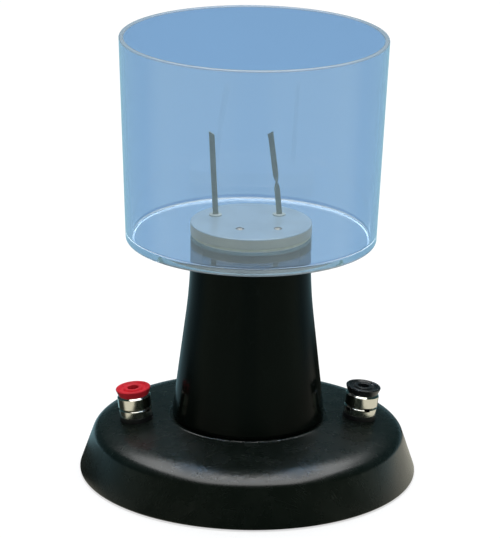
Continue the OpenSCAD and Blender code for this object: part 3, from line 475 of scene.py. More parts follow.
def rod(x, y, z0, z1, r0, r1=None, sides=48):
    """A round rod or cone along Z, from radius r0 at z0 to r1 at z1."""
    r1 = r0 if r1 is None else r1
    return lathe(np.array([[0, z0, 0], [r0, z0, 0], [r1, z1, 0], [0, z1, 0]], float), sides).moved((x, y, 0))


def block(x0, x1, y0, y1, z0, z1):
    """A block between two corners."""
    ring = np.array([[x0, y0], [x1, y0], [x1, y1], [x0, y1]], float)
    return skin(np.stack([np.c_[ring, np.full(4, z)] for z in (z0, z1)]), poles=True)


def turned(turn):
    """Axes turned about Z by an angle in radians."""
    c, s = math.cos(turn), math.sin(turn)
    return np.array([[c, s, 0], [-s, c, 0], [0, 0, 1]])


def around(shape, count, radius, start=0.0):
    """Copies of a shape round a circle, each moved out by radius and turned by its share of the circle."""
    copies = []
    for k in range(count):
        axes = turned(math.radians(start) + 2 * math.pi * k / count)
        copies.append(shape.moved(axes[0] * radius, axes))
    return together(*copies)


def volume(shape):
    """Signed volume of a closed shape: the sum over its triangles of a . (b x c) / 6."""
    total = 0.0
    for f in shape.faces:
        for k in range(1, f.shape[1] - 1):
            a, b, c = (shape.points[f[:, i]] for i in (0, k, k + 1))
            total += (a * np.cross(b, c)).sum() / 6
    return total


def mesh_of(name, shape):
    """A mesh of a closed shape, with its faces outwards and its edge values as an attribute."""
    faces = shape.faces if volume(shape) > 0 else [f[:, ::-1] for f in shape.faces]
    corners = np.concatenate([f.ravel() for f in faces]).astype(np.int32)
    sizes = np.concatenate([np.full(len(f), f.shape[1]) for f in faces])
    mesh = bpy.data.meshes.new(name)
    mesh.vertices.add(len(shape.points))
    mesh.vertices.foreach_set("co", shape.points.astype(np.float32).ravel())
    mesh.loops.add(len(corners))
    mesh.loops.foreach_set("vertex_index", corners)
    mesh.polygons.add(len(sizes))
    mesh.polygons.foreach_set("loop_start", (np.cumsum(sizes) - sizes).astype(np.int32))
    mesh.update(calc_edges=True)
    mesh.attributes.new("edge", "FLOAT", "POINT").data.foreach_set("value", shape.edge.astype(np.float32))
    return mesh


def boolean(piece, shape, operation):
    """Joins a shape to a piece, or cuts it out, and keeps the result as the piece's mesh."""
    tool = bpy.data.objects.new("tool", mesh_of("tool", shape))
    bpy.context.scene.collection.objects.link(tool)
    step = piece.modifiers.new("step", "BOOLEAN")
    step.object, step.operation, step.solver = tool, operation, "EXACT"
    old = piece.data
    piece.data = bpy.data.meshes.new_from_object(piece.evaluated_get(bpy.context.evaluated_depsgraph_get()))
    piece.modifiers.remove(step)
    piece.data.name = piece.name
    bpy.data.meshes.remove(old)
    bpy.data.objects.remove(tool)


def make(name, shape, nodes, material, adds=(), cuts=(), smooth=32.0):
    """Makes a piece that stands for nodes of the frame, rides on their body and has the given material."""
    piece = bpy.data.objects.new(name, mesh_of(name, shape))
    bpy.context.scene.collection.objects.link(piece)
    for one in adds:
        boolean(piece, one, "UNION")
    for one in cuts:
        boolean(piece, one, "DIFFERENCE")
    piece.data.materials.clear()
    piece.data.materials.append(material)
    piece.data.shade_smooth()
    piece.data.set_sharp_from_angle(angle=math.radians(smooth))
    normals = piece.modifiers.new("even_shading", "WEIGHTED_NORMAL")
    normals.keep_sharp = True
    nodes = (nodes,) if isinstance(nodes, str) else nodes
    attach(piece, BODY_OF[nodes[0]])
    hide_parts(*nodes)
    return piece


# Shader node groups


def give(tree, socket, value):
    """Links an output to an input socket, or sets the socket to a plain value."""
    if isinstance(value, bpy.types.NodeSocket):
        tree.links.new(value, socket)
    else:
        socket.default_value = value


def put(tree, kind, values=None, **options):
    """A new node in a tree, with its options and the values of its inputs."""
    node = tree.nodes.new(kind)
    for key, value in options.items():
        setattr(node, key, value)
    for key, value in (values or {}).items():
        give(tree, node.inputs[key], value)
    return node


def maths(tree, operation, *values):
    """The output of a Math node."""
    return put(tree, "ShaderNodeMath", dict(enumerate(values)), operation=operation).outputs[0]


def length_of(tree, vector):
    """The length of a vector."""
    return put(tree, "ShaderNodeVectorMath", {0: vector}, operation="LENGTH").outputs["Value"]


def noise(tree, vector, scale, detail=2.0, roughness=0.5):
    """The height of a noise texture."""
    values = {"Vector": vector, "Scale": scale, "Detail": detail, "Roughness": roughness}
    return put(tree, "ShaderNodeTexNoise", values).outputs["Fac"]


def spread(tree, value, from_low, from_high, to_low=0.0, to_high=1.0, **options):
    """A value carried over from one range to another and held at its ends."""
    values = {
        "Value": value, "From Min": from_low, "From Max": from_high, "To Min": to_low, "To Max": to_high,
    }
    return put(tree, "ShaderNodeMapRange", values, **options).outputs[0]


def blend_colour(tree, factor, one, two):
    """The output of a Mix node on two colours."""
    return put(tree, "ShaderNodeMix", {0: factor, 6: one, 7: two}, data_type="RGBA").outputs[2]


def new_group(name, output, **inputs):
    """A shader node group with a vector, the named numbers and colours as its inputs, and one output. Returns
    the tree, its inputs and its output."""
    tree = bpy.data.node_groups.new(name, "ShaderNodeTree")
    tree.interface.new_socket("Vector", in_out="INPUT", socket_type="NodeSocketVector")
    for label, value in inputs.items():
        kind = "NodeSocketColor" if isinstance(value, tuple) else "NodeSocketFloat"
        socket = tree.interface.new_socket(label, in_out="INPUT", socket_type=kind)
        socket.default_value = value
    kind = "NodeSocketColor" if output == "Colour" else "NodeSocketFloat"
    tree.interface.new_socket(output, in_out="OUTPUT", socket_type=kind)
    ends = tree.nodes.new("NodeGroupInput"), tree.nodes.new("NodeGroupOutput")
    return tree, ends[0].outputs, ends[1].inputs[output]


def fine_grain():
    """Height of a moulded surface: fine grain over a slower unevenness."""
    tree, given, out = new_group("fine_grain", "Height", Size=0.4 * MM)
    scale = maths(tree, "DIVIDE", 1.0, given["Size"])
    fine = noise(tree, given["Vector"], scale, 3.0, 0.6)
    wide = noise(tree, given["Vector"], maths(tree, "MULTIPLY", scale, 0.08))
    tree.links.new(maths(tree, "MULTIPLY_ADD", wide, 4.0, fine), out)
    return tree


def cloudy_tone():
    """A colour that drifts a little lighter and darker over the surface."""
    tree, given, out = new_group("cloudy_tone", "Colour", Colour=(0.5, 0.5, 0.5, 1), Spread=0.2, Size=10 * MM)
    drift = noise(tree, given["Vector"], maths(tree, "DIVIDE", 1.0, given["Size"]), 4.0, 0.55)
    factor = maths(tree, "MULTIPLY_ADD", maths(tree, "SUBTRACT", drift, 0.5), given["Spread"], 1.0)
    result = put(tree, "ShaderNodeVectorMath", {0: given["Colour"], "Scale": factor}, operation="SCALE")
    tree.links.new(result.outputs[0], out)
    return tree


def handling_marks():
    """Mask of fine scratches, in patches: thin ridges of a stretched noise, crossed by a second set."""
    tree, given, out = new_group("handling_marks", "Mask", Size=4 * MM, Amount=0.5)
    scale = maths(tree, "DIVIDE", 0.25, given["Size"])
    sets = []
    for turn, start in ((0.35, 3.1 * MM), (2.0, 7.7 * MM)):
        stretched = put(tree, "ShaderNodeMapping", {
            "Vector": given["Vector"], "Location": (start, 0, 0), "Rotation": (0.3, 0.2, turn),
            "Scale": (1, 14, 1),
        }).outputs[0]
        ridge = maths(tree, "ABSOLUTE", maths(tree, "SUBTRACT", noise(tree, stretched, scale), 0.5))
        sets.append(spread(tree, ridge, 0.0, 0.012, 1.0, 0.0))
    patch = noise(tree, given["Vector"], maths(tree, "DIVIDE", 0.6, given["Size"]))
    both = maths(tree, "MULTIPLY", maths(tree, "MAXIMUM", *sets), spread(tree, patch, 0.5, 0.7))
    tree.links.new(maths(tree, "MULTIPLY", both, given["Amount"]), out)
    return tree


def turned_rings():
    """Height of fine tool marks round Z: waves in the sum of radius and height, over a slow drift."""
    tree, given, out = new_group("turned_rings", "Height", Pitch=0.1 * MM)
    parts = put(tree, "ShaderNodeSeparateXYZ", {0: given["Vector"]}).outputs
    flat = put(tree, "ShaderNodeCombineXYZ", {"X": parts["X"], "Y": parts["Y"]}).outputs[0]
    radius = length_of(tree, flat)
    position = put(tree, "ShaderNodeCombineXYZ", {"X": radius, "Y": parts["Z"]}).outputs[0]
    drift = noise(tree, position, maths(tree, "DIVIDE", 0.3, given["Pitch"]), 3.0)
    rings = maths(tree, "DIVIDE", maths(tree, "ADD", radius, parts["Z"]), given["Pitch"])
    wave = maths(tree, "SINE", maths(tree, "MULTIPLY", rings, 2 * math.pi))
    tree.links.new(maths(tree, "MULTIPLY_ADD", wave, 0.35, drift), out)
    return tree


def settled_dust():
    """Mask of dust that lies on upward faces, in patches."""
    tree, given, out = new_group("settled_dust", "Mask", Size=6 * MM, Amount=0.1)
    normal = put(tree, "ShaderNodeNewGeometry").outputs["Normal"]
    up = put(tree, "ShaderNodeSeparateXYZ", {0: normal}).outputs["Z"]
    cloud = noise(tree, given["Vector"], maths(tree, "DIVIDE", 1.0, given["Size"]), 6.0, 0.7)
    both = maths(tree, "MULTIPLY", spread(tree, up, 0.3, 1.0), spread(tree, cloud, 0.4, 0.75))
    tree.links.new(maths(tree, "MULTIPLY", both, given["Amount"]), out)
    return tree


def edge_wear():
    """Mask of rubbed edges: the mesh's own edge attribute, broken up by noise."""
    tree, given, out = new_group("edge_wear", "Mask", Edge=0.0, Size=3 * MM, Amount=0.5)
    cloud = noise(tree, given["Vector"], maths(tree, "DIVIDE", 1.0, given["Size"]), 5.0, 0.7)
    both = maths(tree, "MULTIPLY", spread(tree, cloud, 0.42, 0.62), given["Edge"])
    tree.links.new(maths(tree, "MULTIPLY", both, given["Amount"]), out)
    return tree


EFFECTS = {}
EFFECT_MAKERS = {
    "grain": fine_grain,
    "tone": cloudy_tone,
    "marks": handling_marks,
    "rings": turned_rings,
    "dust": settled_dust,
    "wear": edge_wear,
}


def effect(tree, name, vector, **values):
    """The output of a shared effect, placed in a material's tree with its own values."""
    if name not in EFFECTS:
        EFFECTS[name] = EFFECT_MAKERS[name]()
    return put(tree, "ShaderNodeGroup", {"Vector": vector, **values}, node_tree=EFFECTS[name]).outputs[0]


# Materials


def new_material(name, **values):
    """A material with one Principled shader. Returns it, its tree, the shader and Object coordinates."""
    material = bpy.data.materials.new(name)
    material.use_nodes = True
    tree = material.node_tree
    shader = tree.nodes["Principled BSDF"]
    for key, value in values.items():
        shader.inputs[key.replace("_", " ")].default_value = value
    coords = put(tree, "ShaderNodeTexCoord").outputs["Object"]
    return material, tree, shader, coords


def rgba(value):
    """A colour with full alpha."""
    return (*value[:3], 1.0)


def toned(base, factor, more=0.0):
    """A colour made lighter or darker by a factor and by a little more of all its parts."""
    return rgba([min(c * factor + more, 1) for c in base])


def mix_shaders(tree, factor, one, two):
    """The output of a Mix Shader node."""
    return put(tree, "ShaderNodeMixShader", {0: factor, 1: one, 2: two}).outputs[0]


def shining(tree, kind, colour, strength=1.0):
    """The output of an Emission or a Background node."""
    return put(tree, f"ShaderNode{kind}", {"Color": colour, "Strength": strength}).outputs[0]


def add_wear(tree, coords, size, amount):
    """The mask of the rubbed edges of a mesh."""
    edge = put(tree, "ShaderNodeAttribute", attribute_name="edge").outputs["Fac"]
    return effect(tree, "wear", coords, Edge=edge, Size=size, Amount=amount)


def add_bump(tree, shader, height, distance):
    """Feeds a height to the shader's normal."""
    bump = put(tree, "ShaderNodeBump", {"Height": height, "Distance": distance, "Strength": 1.0})
    tree.links.new(bump.outputs[0], shader.inputs["Normal"])


def moulded(
    name, base, roughness, specular, grain_size=0.35 * MM, grain_depth=0.004 * MM, worn=2.2, dust=0.06
):
    """Moulded plastic: fine grain, a drifting tone, duller scratches, pale rubbed edges and a little dust."""
    material, tree, shader, coords = new_material(name, Specular_IOR_Level=specular)
    tone = effect(tree, "tone", coords, Colour=rgba(base), Spread=0.5, Size=9 * MM)
    marks = effect(tree, "marks", coords, Size=4 * MM, Amount=0.5)
    rubbed = add_wear(tree, coords, 2.5 * MM, 0.5)
    dusty = effect(tree, "dust", coords, Size=5 * MM, Amount=dust)
    pale = toned(base, worn, 0.003)
    with_wear = blend_colour(tree, rubbed, tone, pale)
    with_marks = blend_colour(tree, marks, with_wear, pale)
    with_dust = blend_colour(tree, dusty, with_marks, (0.30, 0.31, 0.31, 1))
    tree.links.new(with_dust, shader.inputs["Base Color"])
    rough = spread(tree, noise(tree, coords, 110.0, 4.0), 0, 1, roughness - 0.06, roughness + 0.06)
    tree.links.new(maths(tree, "MULTIPLY_ADD", marks, 0.2, rough), shader.inputs["Roughness"])
    add_bump(tree, shader, effect(tree, "grain", coords, Size=grain_size), grain_depth)
    return material


def rubber(name, base, roughness=0.75):
    """Rubber: matt, with a fine tooth, a tone that drifts and dust on its upward faces."""
    material, tree, shader, coords = new_material(name, Specular_IOR_Level=0.3)
    tone = effect(tree, "tone", coords, Colour=rgba(base), Spread=0.5, Size=3 * MM)
    dusty = effect(tree, "dust", coords, Size=2 * MM, Amount=0.15)
    tree.links.new(blend_colour(tree, dusty, tone, (0.35, 0.36, 0.36, 1)), shader.inputs["Base Color"])
    rough = spread(tree, noise(tree, coords, 400.0, 3.0), 0, 1, roughness - 0.1, roughness + 0.1)
    tree.links.new(rough, shader.inputs["Roughness"])
    add_bump(tree, shader, effect(tree, "grain", coords, Size=0.18 * MM), 0.008 * MM)
    return material


def metal(name, base, roughness, ring_pitch=0.12 * MM, centre=None, tilt=0.0):
    """Turned or drawn metal: tool marks round its axis, scratches, and a tarnish that dulls it in patches."""
    material, tree, shader, coords = new_material(name, Metallic=1.0)
    if centre is not None:
        moved = put(tree, "ShaderNodeVectorMath", {0: coords, 1: centre}, operation="SUBTRACT").outputs[0]
        coords = put(tree, "ShaderNodeMapping", {"Vector": moved, "Rotation": (0, tilt, 0)}).outputs[0]
    tone = effect(tree, "tone", coords, Colour=rgba(base), Spread=0.12, Size=4 * MM)
    marks = effect(tree, "marks", coords, Size=2 * MM, Amount=0.6)
    stain = noise(tree, coords, 260.0, 5.0, 0.65)
    tarnish = spread(tree, stain, 0.5, 0.8, 0.0, 0.15)
    tree.links.new(blend_colour(tree, tarnish, tone, toned(base, 0.45)), shader.inputs["Base Color"])
    rough = spread(tree, stain, 0, 1, roughness - 0.04, roughness + 0.08)
    tree.links.new(maths(tree, "MULTIPLY_ADD", marks, 0.15, rough), shader.inputs["Roughness"])
    add_bump(tree, shader, effect(tree, "rings", coords, Pitch=ring_pitch), 0.0004 * MM)
    return material


def many_turns(tree, path):
    """1 for light that has been thrown to and fro three times or more, as inside a clear wall."""
    return maths(tree, "GREATER_THAN", path["Glossy Depth"], 2.5)


def clear_plastic(name, tint, clear=1.0, body=(1, 1, 1), dull=0.0):
    """Clear plastic. Light that leaves through an outside face takes the tint. Lamps, diffuse light and light
    that has been thrown to and fro inside pass straight through. Faint wiping marks vary its gloss."""
    material, tree, shader, coords = new_material(name, Transmission_Weight=clear, IOR=1.49)
    gloss = spread(tree, noise(tree, coords, 45.0, 5.0, 0.6), 0.35, 0.8, dull, dull + 0.03)
    marks = effect(tree, "marks", coords, Size=9 * MM, Amount=0.08)
    tree.links.new(maths(tree, "MULTIPLY_ADD", marks, 0.03, gloss), shader.inputs["Roughness"])
    add_bump(tree, shader, noise(tree, coords, 28.0, 1.0), 0.05 * MM)
    if tint == body:
        shader.inputs["Base Color"].default_value = rgba(body)
    else:
        behind = put(tree, "ShaderNodeNewGeometry").outputs["Backfacing"]
        passed = rgba([c * c for c in tint])
        tree.links.new(blend_colour(tree, behind, rgba(body), passed), shader.inputs["Base Color"])
    path = put(tree, "ShaderNodeLightPath").outputs
    scattered = maths(tree, "MAXIMUM", path["Is Diffuse Ray"], many_turns(tree, path))
    straight = maths(tree, "MAXIMUM", path["Is Shadow Ray"], scattered)
    soft = rgba([c ** 0.25 for c in tint])
    through = put(tree, "ShaderNodeBsdfTransparent", {"Color": soft}).outputs[0]
    both = mix_shaders(tree, straight, shader.outputs[0], through)
    tree.links.new(both, tree.nodes["Material Output"].inputs["Surface"])
    return material


# Places


def terminal_frame(name):
    """Origin and axes of a terminal: Z is its stem's axis and X points to the middle of the base."""
    joint = JOINTS[f"{name}_knob_turn"]
    origin, up = np.array(joint["pos_m"]), unit(np.array(joint["axis"], float))
    across = np.array([0.0, -np.sign(origin[0]), 0.0])
    return origin, np.array([np.cross(across, up), across, up])


# Pieces


class APPARATUS_OT_base(bpy.types.Operator):
    """Make the moulded base, the cover under it and the rubber feet"""

    bl_idname = "apparatus.base"
    bl_label = "Base, cover and feet"

    def execute(self, context):
        s, p, t = (settings(context, name) for name in ("base", "pedestal", "terminal"))
        looks = settings(context, "finish")
        z0, seat_z, cover_z = low_z("base_shell"), low_z("pedestal"), low_z("base_cover")
        cover_top = high_z("base_cover")
        corner = np.array([s.radius - s.spread, z0 + s.corner_h])
        lean = s.spread / s.corner_h
        seat_r = p.foot_r + s.seat_gap
        rise = (seat_z - corner[1]) / (corner[0] - seat_r)
        skirt = corner[0] + (corner[1] - cover_top) * lean
        inset = s.wall * (1 - lean) / (1 - rise * lean)
        inner = corner - [inset, s.wall - inset * rise]
        low = corner - unit(np.array([-lean, 1])) * s.skirt_cut
        high = corner + unit(np.array([-1, rise])) * s.top_cut
        run, bead_z, under_z = s.bead_w, seat_z + s.bead, seat_z - s.wall
        outline = rounded([
            (s.radius, z0, s.edge), (*low, s.shoulder), (*high, s.easing),
            (seat_r + 2 * run, seat_z - 2 * run * rise, 0), (seat_r + run, bead_z, run / 4),
            (seat_r + run / 4, bead_z, run / 8), (seat_r - run / 4, seat_z, 0), (s.hole_r, seat_z, s.edge),
            (s.hole_r, under_z, s.edge), (seat_r, under_z, s.edge), (*inner, s.inner_round),
            (skirt - s.wall, cover_top, s.edge), (skirt - s.lip, cover_top, 0), (skirt - s.lip, z0, s.edge),
        ], steps=10)
        boss_at = corner[0] - s.wall - s.boss_r
        boss_top = corner[1] + (corner[0] - boss_at - s.boss_r) * rise - s.wall / 2
        bosses = around(rod(0, 0, cover_top, boss_top, s.boss_r), 4, boss_at, 45)
        screws = around(rod(0, 0, cover_top - PAST, cover_top + s.screw_depth, s.screw_r), 4, boss_at, 45)
        foot_screw_at = p.foot_r - p.wall - p.boss_r
        seat_hole = rod(0, 0, under_z - PAST, seat_z + PAST, p.clearance_r)
        adds, cuts = [bosses], [screws, around(seat_hole, 3, foot_screw_at, 90)]
        for name in TERMINALS:
            place = terminal_frame(name)
            adds.append(rod(0, 0, -s.wall - t.pad_h, -s.wall / 2, t.pad_r, sides=96).moved(*place))
            cuts.append(rod(0, 0, -t.insulator_seat, PAST, t.insulator_r + GAP, sides=96).moved(*place))
            cuts.append(rod(0, 0, -s.wall - 3 * PAST, PAST / 2, t.bush_r, sides=96).moved(*place))
        black = moulded("base_black", looks.base, 0.27, 0.72, worn=1.8, dust=0.015)
        make("base_moulding", lathe(split_long(outline, 2.5 * MM), 288), "base_shell", black, adds, cuts)
        self.make_cover(s, looks, cover_z, cover_top, boss_at)
        return {"FINISHED"}

    def make_cover(self, s, looks, cover_z, cover_top, boss_at):
        """Makes the cover plate with its recesses, and the feet in them."""
        radius = width("base_cover") / 2
        foot_at = radius - s.foot_edge - s.foot_r
        plate = from_axis(rounded([
            (0, cover_z, 0), (radius, cover_z, s.edge), (radius, cover_top, s.edge), (0, cover_top, 0),
        ]))
        recess = rod(0, 0, cover_z - PAST, cover_z + s.foot_recess, s.foot_r + GAP, sides=96)
        hole = rod(0, 0, cover_z - PAST, cover_top + PAST, s.shank_r)
        sink = rod(0, 0, cover_z - SLIVER, cover_z + s.head_r - s.screw_r, s.head_r + GAP, s.screw_r)
        cuts = [around(recess, 4, foot_at), around(hole, 4, boss_at, 45), around(sink, 4, boss_at, 45)]
        cover = moulded("cover_black", looks.cover, 0.55, 0.4, grain_size=0.5 * MM, grain_depth=0.02 * MM)
        make("cover_plate", lathe(split_long(plate, 4 * MM)), "base_cover", cover, cuts=cuts)
        foot_top = high_z("rubber_feet")
        chamfer = low_z("base_shell") / 2
        pad = from_axis(rounded([
            (0, 0, 0), (s.foot_r - chamfer, 0, s.pad_round), (s.foot_r, chamfer, s.pad_round),
            (s.foot_r, foot_top, s.pad_round), (0, foot_top, 0),
        ]))
        pads = around(lathe(pad, 72), 4, foot_at)
        make("foot_pads", pads, "rubber_feet", rubber("foot_rubber", looks.rubber))


class APPARATUS_OT_pedestal(bpy.types.Operator):
    """Make the flared pedestal"""

    bl_idname = "apparatus.pedestal"
    bl_label = "Pedestal"

    def execute(self, context):
        s, plug, strips = (settings(context, name) for name in ("pedestal", "plug", "electrode"))
        z0, z1 = low_z("pedestal"), high_z("pedestal")
        rise = z1 - z0 - s.neck_l
        reach = s.blend - s.foot_r + s.neck_r
        flare = math.atan2(rise, reach) - math.acos(s.blend / math.hypot(reach, rise))
        bend_z = z0 + (s.foot_r - s.neck_r - s.blend * (1 - math.cos(flare))) / math.tan(flare)

        def blend(inset):
            """Points (r, z) of the easing arc, from the flare up to the neck."""
            turn = np.linspace(flare, 0, 14)
            r = s.neck_r - inset + s.blend * (1 - np.cos(turn))
            z = bend_z + s.blend * (math.sin(flare) - np.sin(turn))
            return [(a, b, 0) for a, b in zip(r, z)]

        plate_z = z1 - s.plate
        outline = from_axis(rounded(
            [(0, plate_z, 0), (s.neck_r - s.wall, plate_z, s.inner_round)] + blend(s.wall)[::-1]
            + [(s.foot_r - s.wall, z0, s.lip_round), (s.foot_r, z0, s.foot_round)] + blend(0)
            + [(s.neck_r, z1, s.top_round), (0, z1, 0)]
        ))
        screw_at = s.foot_r - s.wall - s.boss_r
        boss = rod(0, 0, z0, z0 + s.boss_h, s.boss_r)
        rib = block(0, s.boss_r + s.wall / 2, -s.boss_r / 2, s.boss_r / 2, z0, z0 + s.boss_h)
        rib.points[:, 0] -= (rib.points[:, 2] - z0) * math.tan(flare)
        screw_hole = rod(0, 0, z0 - PAST, z0 + s.screw_l, s.screw_r)
        adds = [around(boss, 3, screw_at, 90), around(rib, 3, screw_at, 90)]
        cuts = [around(screw_hole, 3, screw_at, 90)]
        boss_z = plate_z - s.plug_boss_h
        for x in (plug.left_screw_x, plug.right_screw_x):
            adds.append(rod(x, -plug.screw_y, boss_z, plate_z + PAST, s.plug_boss_r))
            cuts.append(rod(x, -plug.screw_y, boss_z - PAST, z1 + PAST, plug.screw_r))
        for x in (strips.left_x, strips.right_x):
            cuts.append(rod(x, strips.place_y, plate_z - PAST, z1 + PAST, s.passage_r))
        base = settings(context, "finish").pedestal
        black = moulded("pedestal_black", base, 0.16, 0.035, worn=1.8, dust=0.004)
        make("pedestal_moulding", lathe(split_long(outline, 6 * MM), 256), "pedestal", black, adds, cuts)
        return {"FINISHED"}


class APPARATUS_OT_cup(bpy.types.Operator):
    """Make the clear cup"""

    bl_idname = "apparatus.cup"
    bl_label = "Clear cup"

    def execute(self, context):
        s = settings(context, "cup")
        z0, z1 = low_z("cup"), high_z("cup")
        floor_z = z0 + s.floor
        lip = s.rim_wall / 3
        inner_r = s.floor_r - s.wall + (s.rim_r - s.floor_r) * s.floor / (z1 - z0)
        contact_r = width("cup_gasket") / 2
        outline = split_long(rounded([
            (s.hole_r, z0, s.edge), (contact_r, z0, 0), (s.floor_r, z0, s.outer_round), (s.rim_r, z1, lip),
            (s.rim_r - s.rim_wall, z1, lip), (inner_r, floor_z, s.inner_round), (s.hole_r, floor_z, s.edge),
        ], steps=8), 6 * MM)
        sides = 256
        looks = settings(context, "finish")
        cup = make("clear_cup", lathe(outline, sides), "cup", clear_plastic("cup_clear", looks.tint, 0.95))
        cup.data.materials.append(clear_plastic("cup_clear_inside", (1, 1, 1)))
        cup.data.materials.append(clear_plastic("cup_clear_edge", looks.cup_edge, 0.6, looks.cup_edge))
        cup.data.materials.append(clear_plastic("cup_clear_corner", looks.corner, 1.0, looks.corner, 0.08))
        cup.data.materials.append(moulded("cup_hole_frosted", looks.hole, 0.6, 0.3, worn=1.0, dust=0.0))
        middle = (outline + np.roll(outline, -1, 0)) / 2
        wall_middle = s.floor_r + (s.rim_r - s.floor_r) * (middle[:, 1] - z0) / (z1 - z0) - s.wall / 2
        below = (middle[:, 1] < z0 + s.edge / 2) & (middle[:, 0] < s.floor_r - s.outer_round)
        free = below & (middle[:, 0] > contact_r)
        outside = (middle[:, 0] > wall_middle) | free
        edges = (middle[:, 1] > z1 - lip) | (outside & ~free & (middle[:, 1] < floor_z))
        low_inside = ~outside & ~below & (middle[:, 1] < floor_z + s.inner_round)
        corner = low_inside & (middle[:, 0] > inner_r - s.inner_round)
        hole = middle[:, 0] < s.hole_r + s.edge / 2
        index = np.select([edges, corner, hole], [2, 3, 4], ~outside)
        cup.data.polygons.foreach_set("material_index", np.repeat(index, sides).astype(np.int32))
        return {"FINISHED"}


class APPARATUS_OT_plug(bpy.types.Operator):
    """Make the grey plug with its screws, the seal and gasket below and the electrodes' grommets"""

    bl_idname = "apparatus.plug"
    bl_label = "Plug, seals and grommets"

    def execute(self, context):
        s, strips, looks = (settings(context, name) for name in ("plug", "electrode", "finish"))
        z0, top = low_z("plug"), high_z("plug")
        flange_z = top - s.flange
        outline = from_axis(rounded([
            (0, z0, 0), (s.neck_r, z0, s.neck_round), (s.neck_r, flange_z, 0),
            (s.radius, flange_z, s.under_round), (s.radius, top, s.rounding), (0, top, 0),
        ]))
        grommet_z = high_z("left_grommet") - s.grommet_h
        cuts = []
        for x in (strips.left_x, strips.right_x):
            cuts.append(rod(x, strips.place_y, z0 - PAST, top + PAST, s.hole_r))
            cuts.append(rod(x, strips.place_y, grommet_z, top + PAST, s.pocket_r))
        for x in (s.left_screw_x, s.right_screw_x):
            cuts.append(rod(x, -s.screw_y, z0 - PAST, top + PAST, s.screw_r))
            cuts.append(rod(x, -s.screw_y, top - s.head_r + s.screw_r, top + SLIVER, s.screw_r, s.head_r))
        grain = {"grain_size": 0.25 * MM, "grain_depth": 0.003 * MM}
        grey = moulded("plug_grey", looks.plug, 0.3, 0.8, worn=1.3, dust=0.0, **grain)
        # The plug's top faces get a bluer material than its side, a painted reflection of the cup's blue light,
        # with a little real dust
        painted_blue_light = moulded("plug_painted_blue_light", looks.painted_blue_light, 0.3, 0.8, worn=1.2, dust=0.1, **grain)
        disc = make("plug_disc", lathe(split_long(outline, 4 * MM)), "plug", grey, cuts=cuts)
        disc.data.materials.append(painted_blue_light)
        centres = np.empty(3 * len(disc.data.polygons), np.float32)
        disc.data.polygons.foreach_get("center", centres)
        # Faces on the plug's top take the material with the painted reflection
        on_top = centres[2::3] > top - 0.7 * s.rounding
        disc.data.polygons.foreach_set("material_index", on_top.astype(np.int32))
        self.make_screws(s, looks, top)
        pale = rubber("seal_rubber", looks.seal)
        make("seal_ring", self.flat_ring(s, "plug_seal"), "plug_seal", pale)
        make("gasket_ring", self.flat_ring(s, "cup_gasket"), "cup_gasket", pale)
        soft = rubber("grommet_rubber", looks.grommet, 0.6)
        for side, x in (("left", strips.left_x), ("right", strips.right_x)):
            shape = self.grommet(s, strips, grommet_z).moved((x, strips.place_y, 0))
            make(f"{side}_grommet_ring", shape, f"{side}_grommet", soft)
        return {"FINISHED"}

    def flat_ring(self, s, node):
        """A flat ring round the plug's neck, with rounded edges."""
        inner, outer, low, high = s.neck_r + GAP, width(node) / 2, low_z(node), high_z(node)
        near, far = s.under_round / 2, s.under_round
        corners = [(inner, low, near), (outer, low, far), (outer, high, far), (inner, high, near)]
        return lathe(rounded(corners))

    def make_screws(self, s, looks, top):
        """Makes the plug's screws: a raised round head whose slope is steepest at its edge, a countersink
        below it and a shank, with a slot across."""
        dome_r = s.head_r / math.sin(s.head_slope)
        turn = np.linspace(0, s.head_slope, 10)
        play = 0.03 * MM
        rim, shank = s.head_r - play, s.screw_r - play
        low, edge_z = low_z("plug_screws"), top - GAP
        rise = dome_r * (np.cos(turn) - math.cos(s.head_slope)) * rim / s.head_r
        dome = np.c_[rim * np.sin(turn) / math.sin(s.head_slope), top + rise, 0 * turn]
        below = [[rim, edge_z, 0], [shank, edge_z - rim + shank, 0], [shank, low, 0], [0, low, 0]]
        screw = lathe(np.concatenate([dome, below]), 48)
        depth = top + rise[0] - s.slot_h
        slot = block(-2 * s.head_r, 2 * s.head_r, -s.slot_w / 2, s.slot_w / 2, depth, top + PAST)
        places = [(x, -s.screw_y, 0) for x in (s.left_screw_x, s.right_screw_x)]
        screws = together(*(screw.moved(place) for place in places))
        slots = [slot.moved(place, turned(way)) for place, way in zip(places, (s.left_slot, s.right_slot))]
        steel = metal("screw_bright", [c * 0.42 for c in looks.steel], 0.45, ring_pitch=0.08 * MM)
        make("plug_screw_heads", screws, "plug_screws", steel, cuts=slots)

    def grommet(self, s, strips, z0):
        """A round grommet with a slot: for each angle t the outside is a circle, and the slot's wall lies at
        the lesser of half its width over |cos t| and half its thickness over |sin t|."""
        z1, edge = z0 + s.grommet_h, s.grommet_round
        start, bevel = 1 * MM, 0.15 * MM
        t = circle(96)
        half_w, half_t = strips.strip_w / 2 + s.fit, strips.strip_t / 2 + s.fit
        with np.errstate(divide="ignore"):
            slot = np.minimum(half_w / abs(np.cos(t)), half_t / abs(np.sin(t)))
        outside = rounded([(start, z0, 0), (s.grommet_r, z0, edge), (s.grommet_r, z1, edge), (start, z1, 0)])
        outside = outside[outside[:, 0] > 1.01 * start]
        r = np.concatenate([outside[:, :1] + 0 * t, [slot + bevel, slot, slot]])
        z = np.concatenate([outside[:, 1], [z1, z1 - bevel, z0]])[:, None]
        return skin(polar(r, t, z), ring=True)


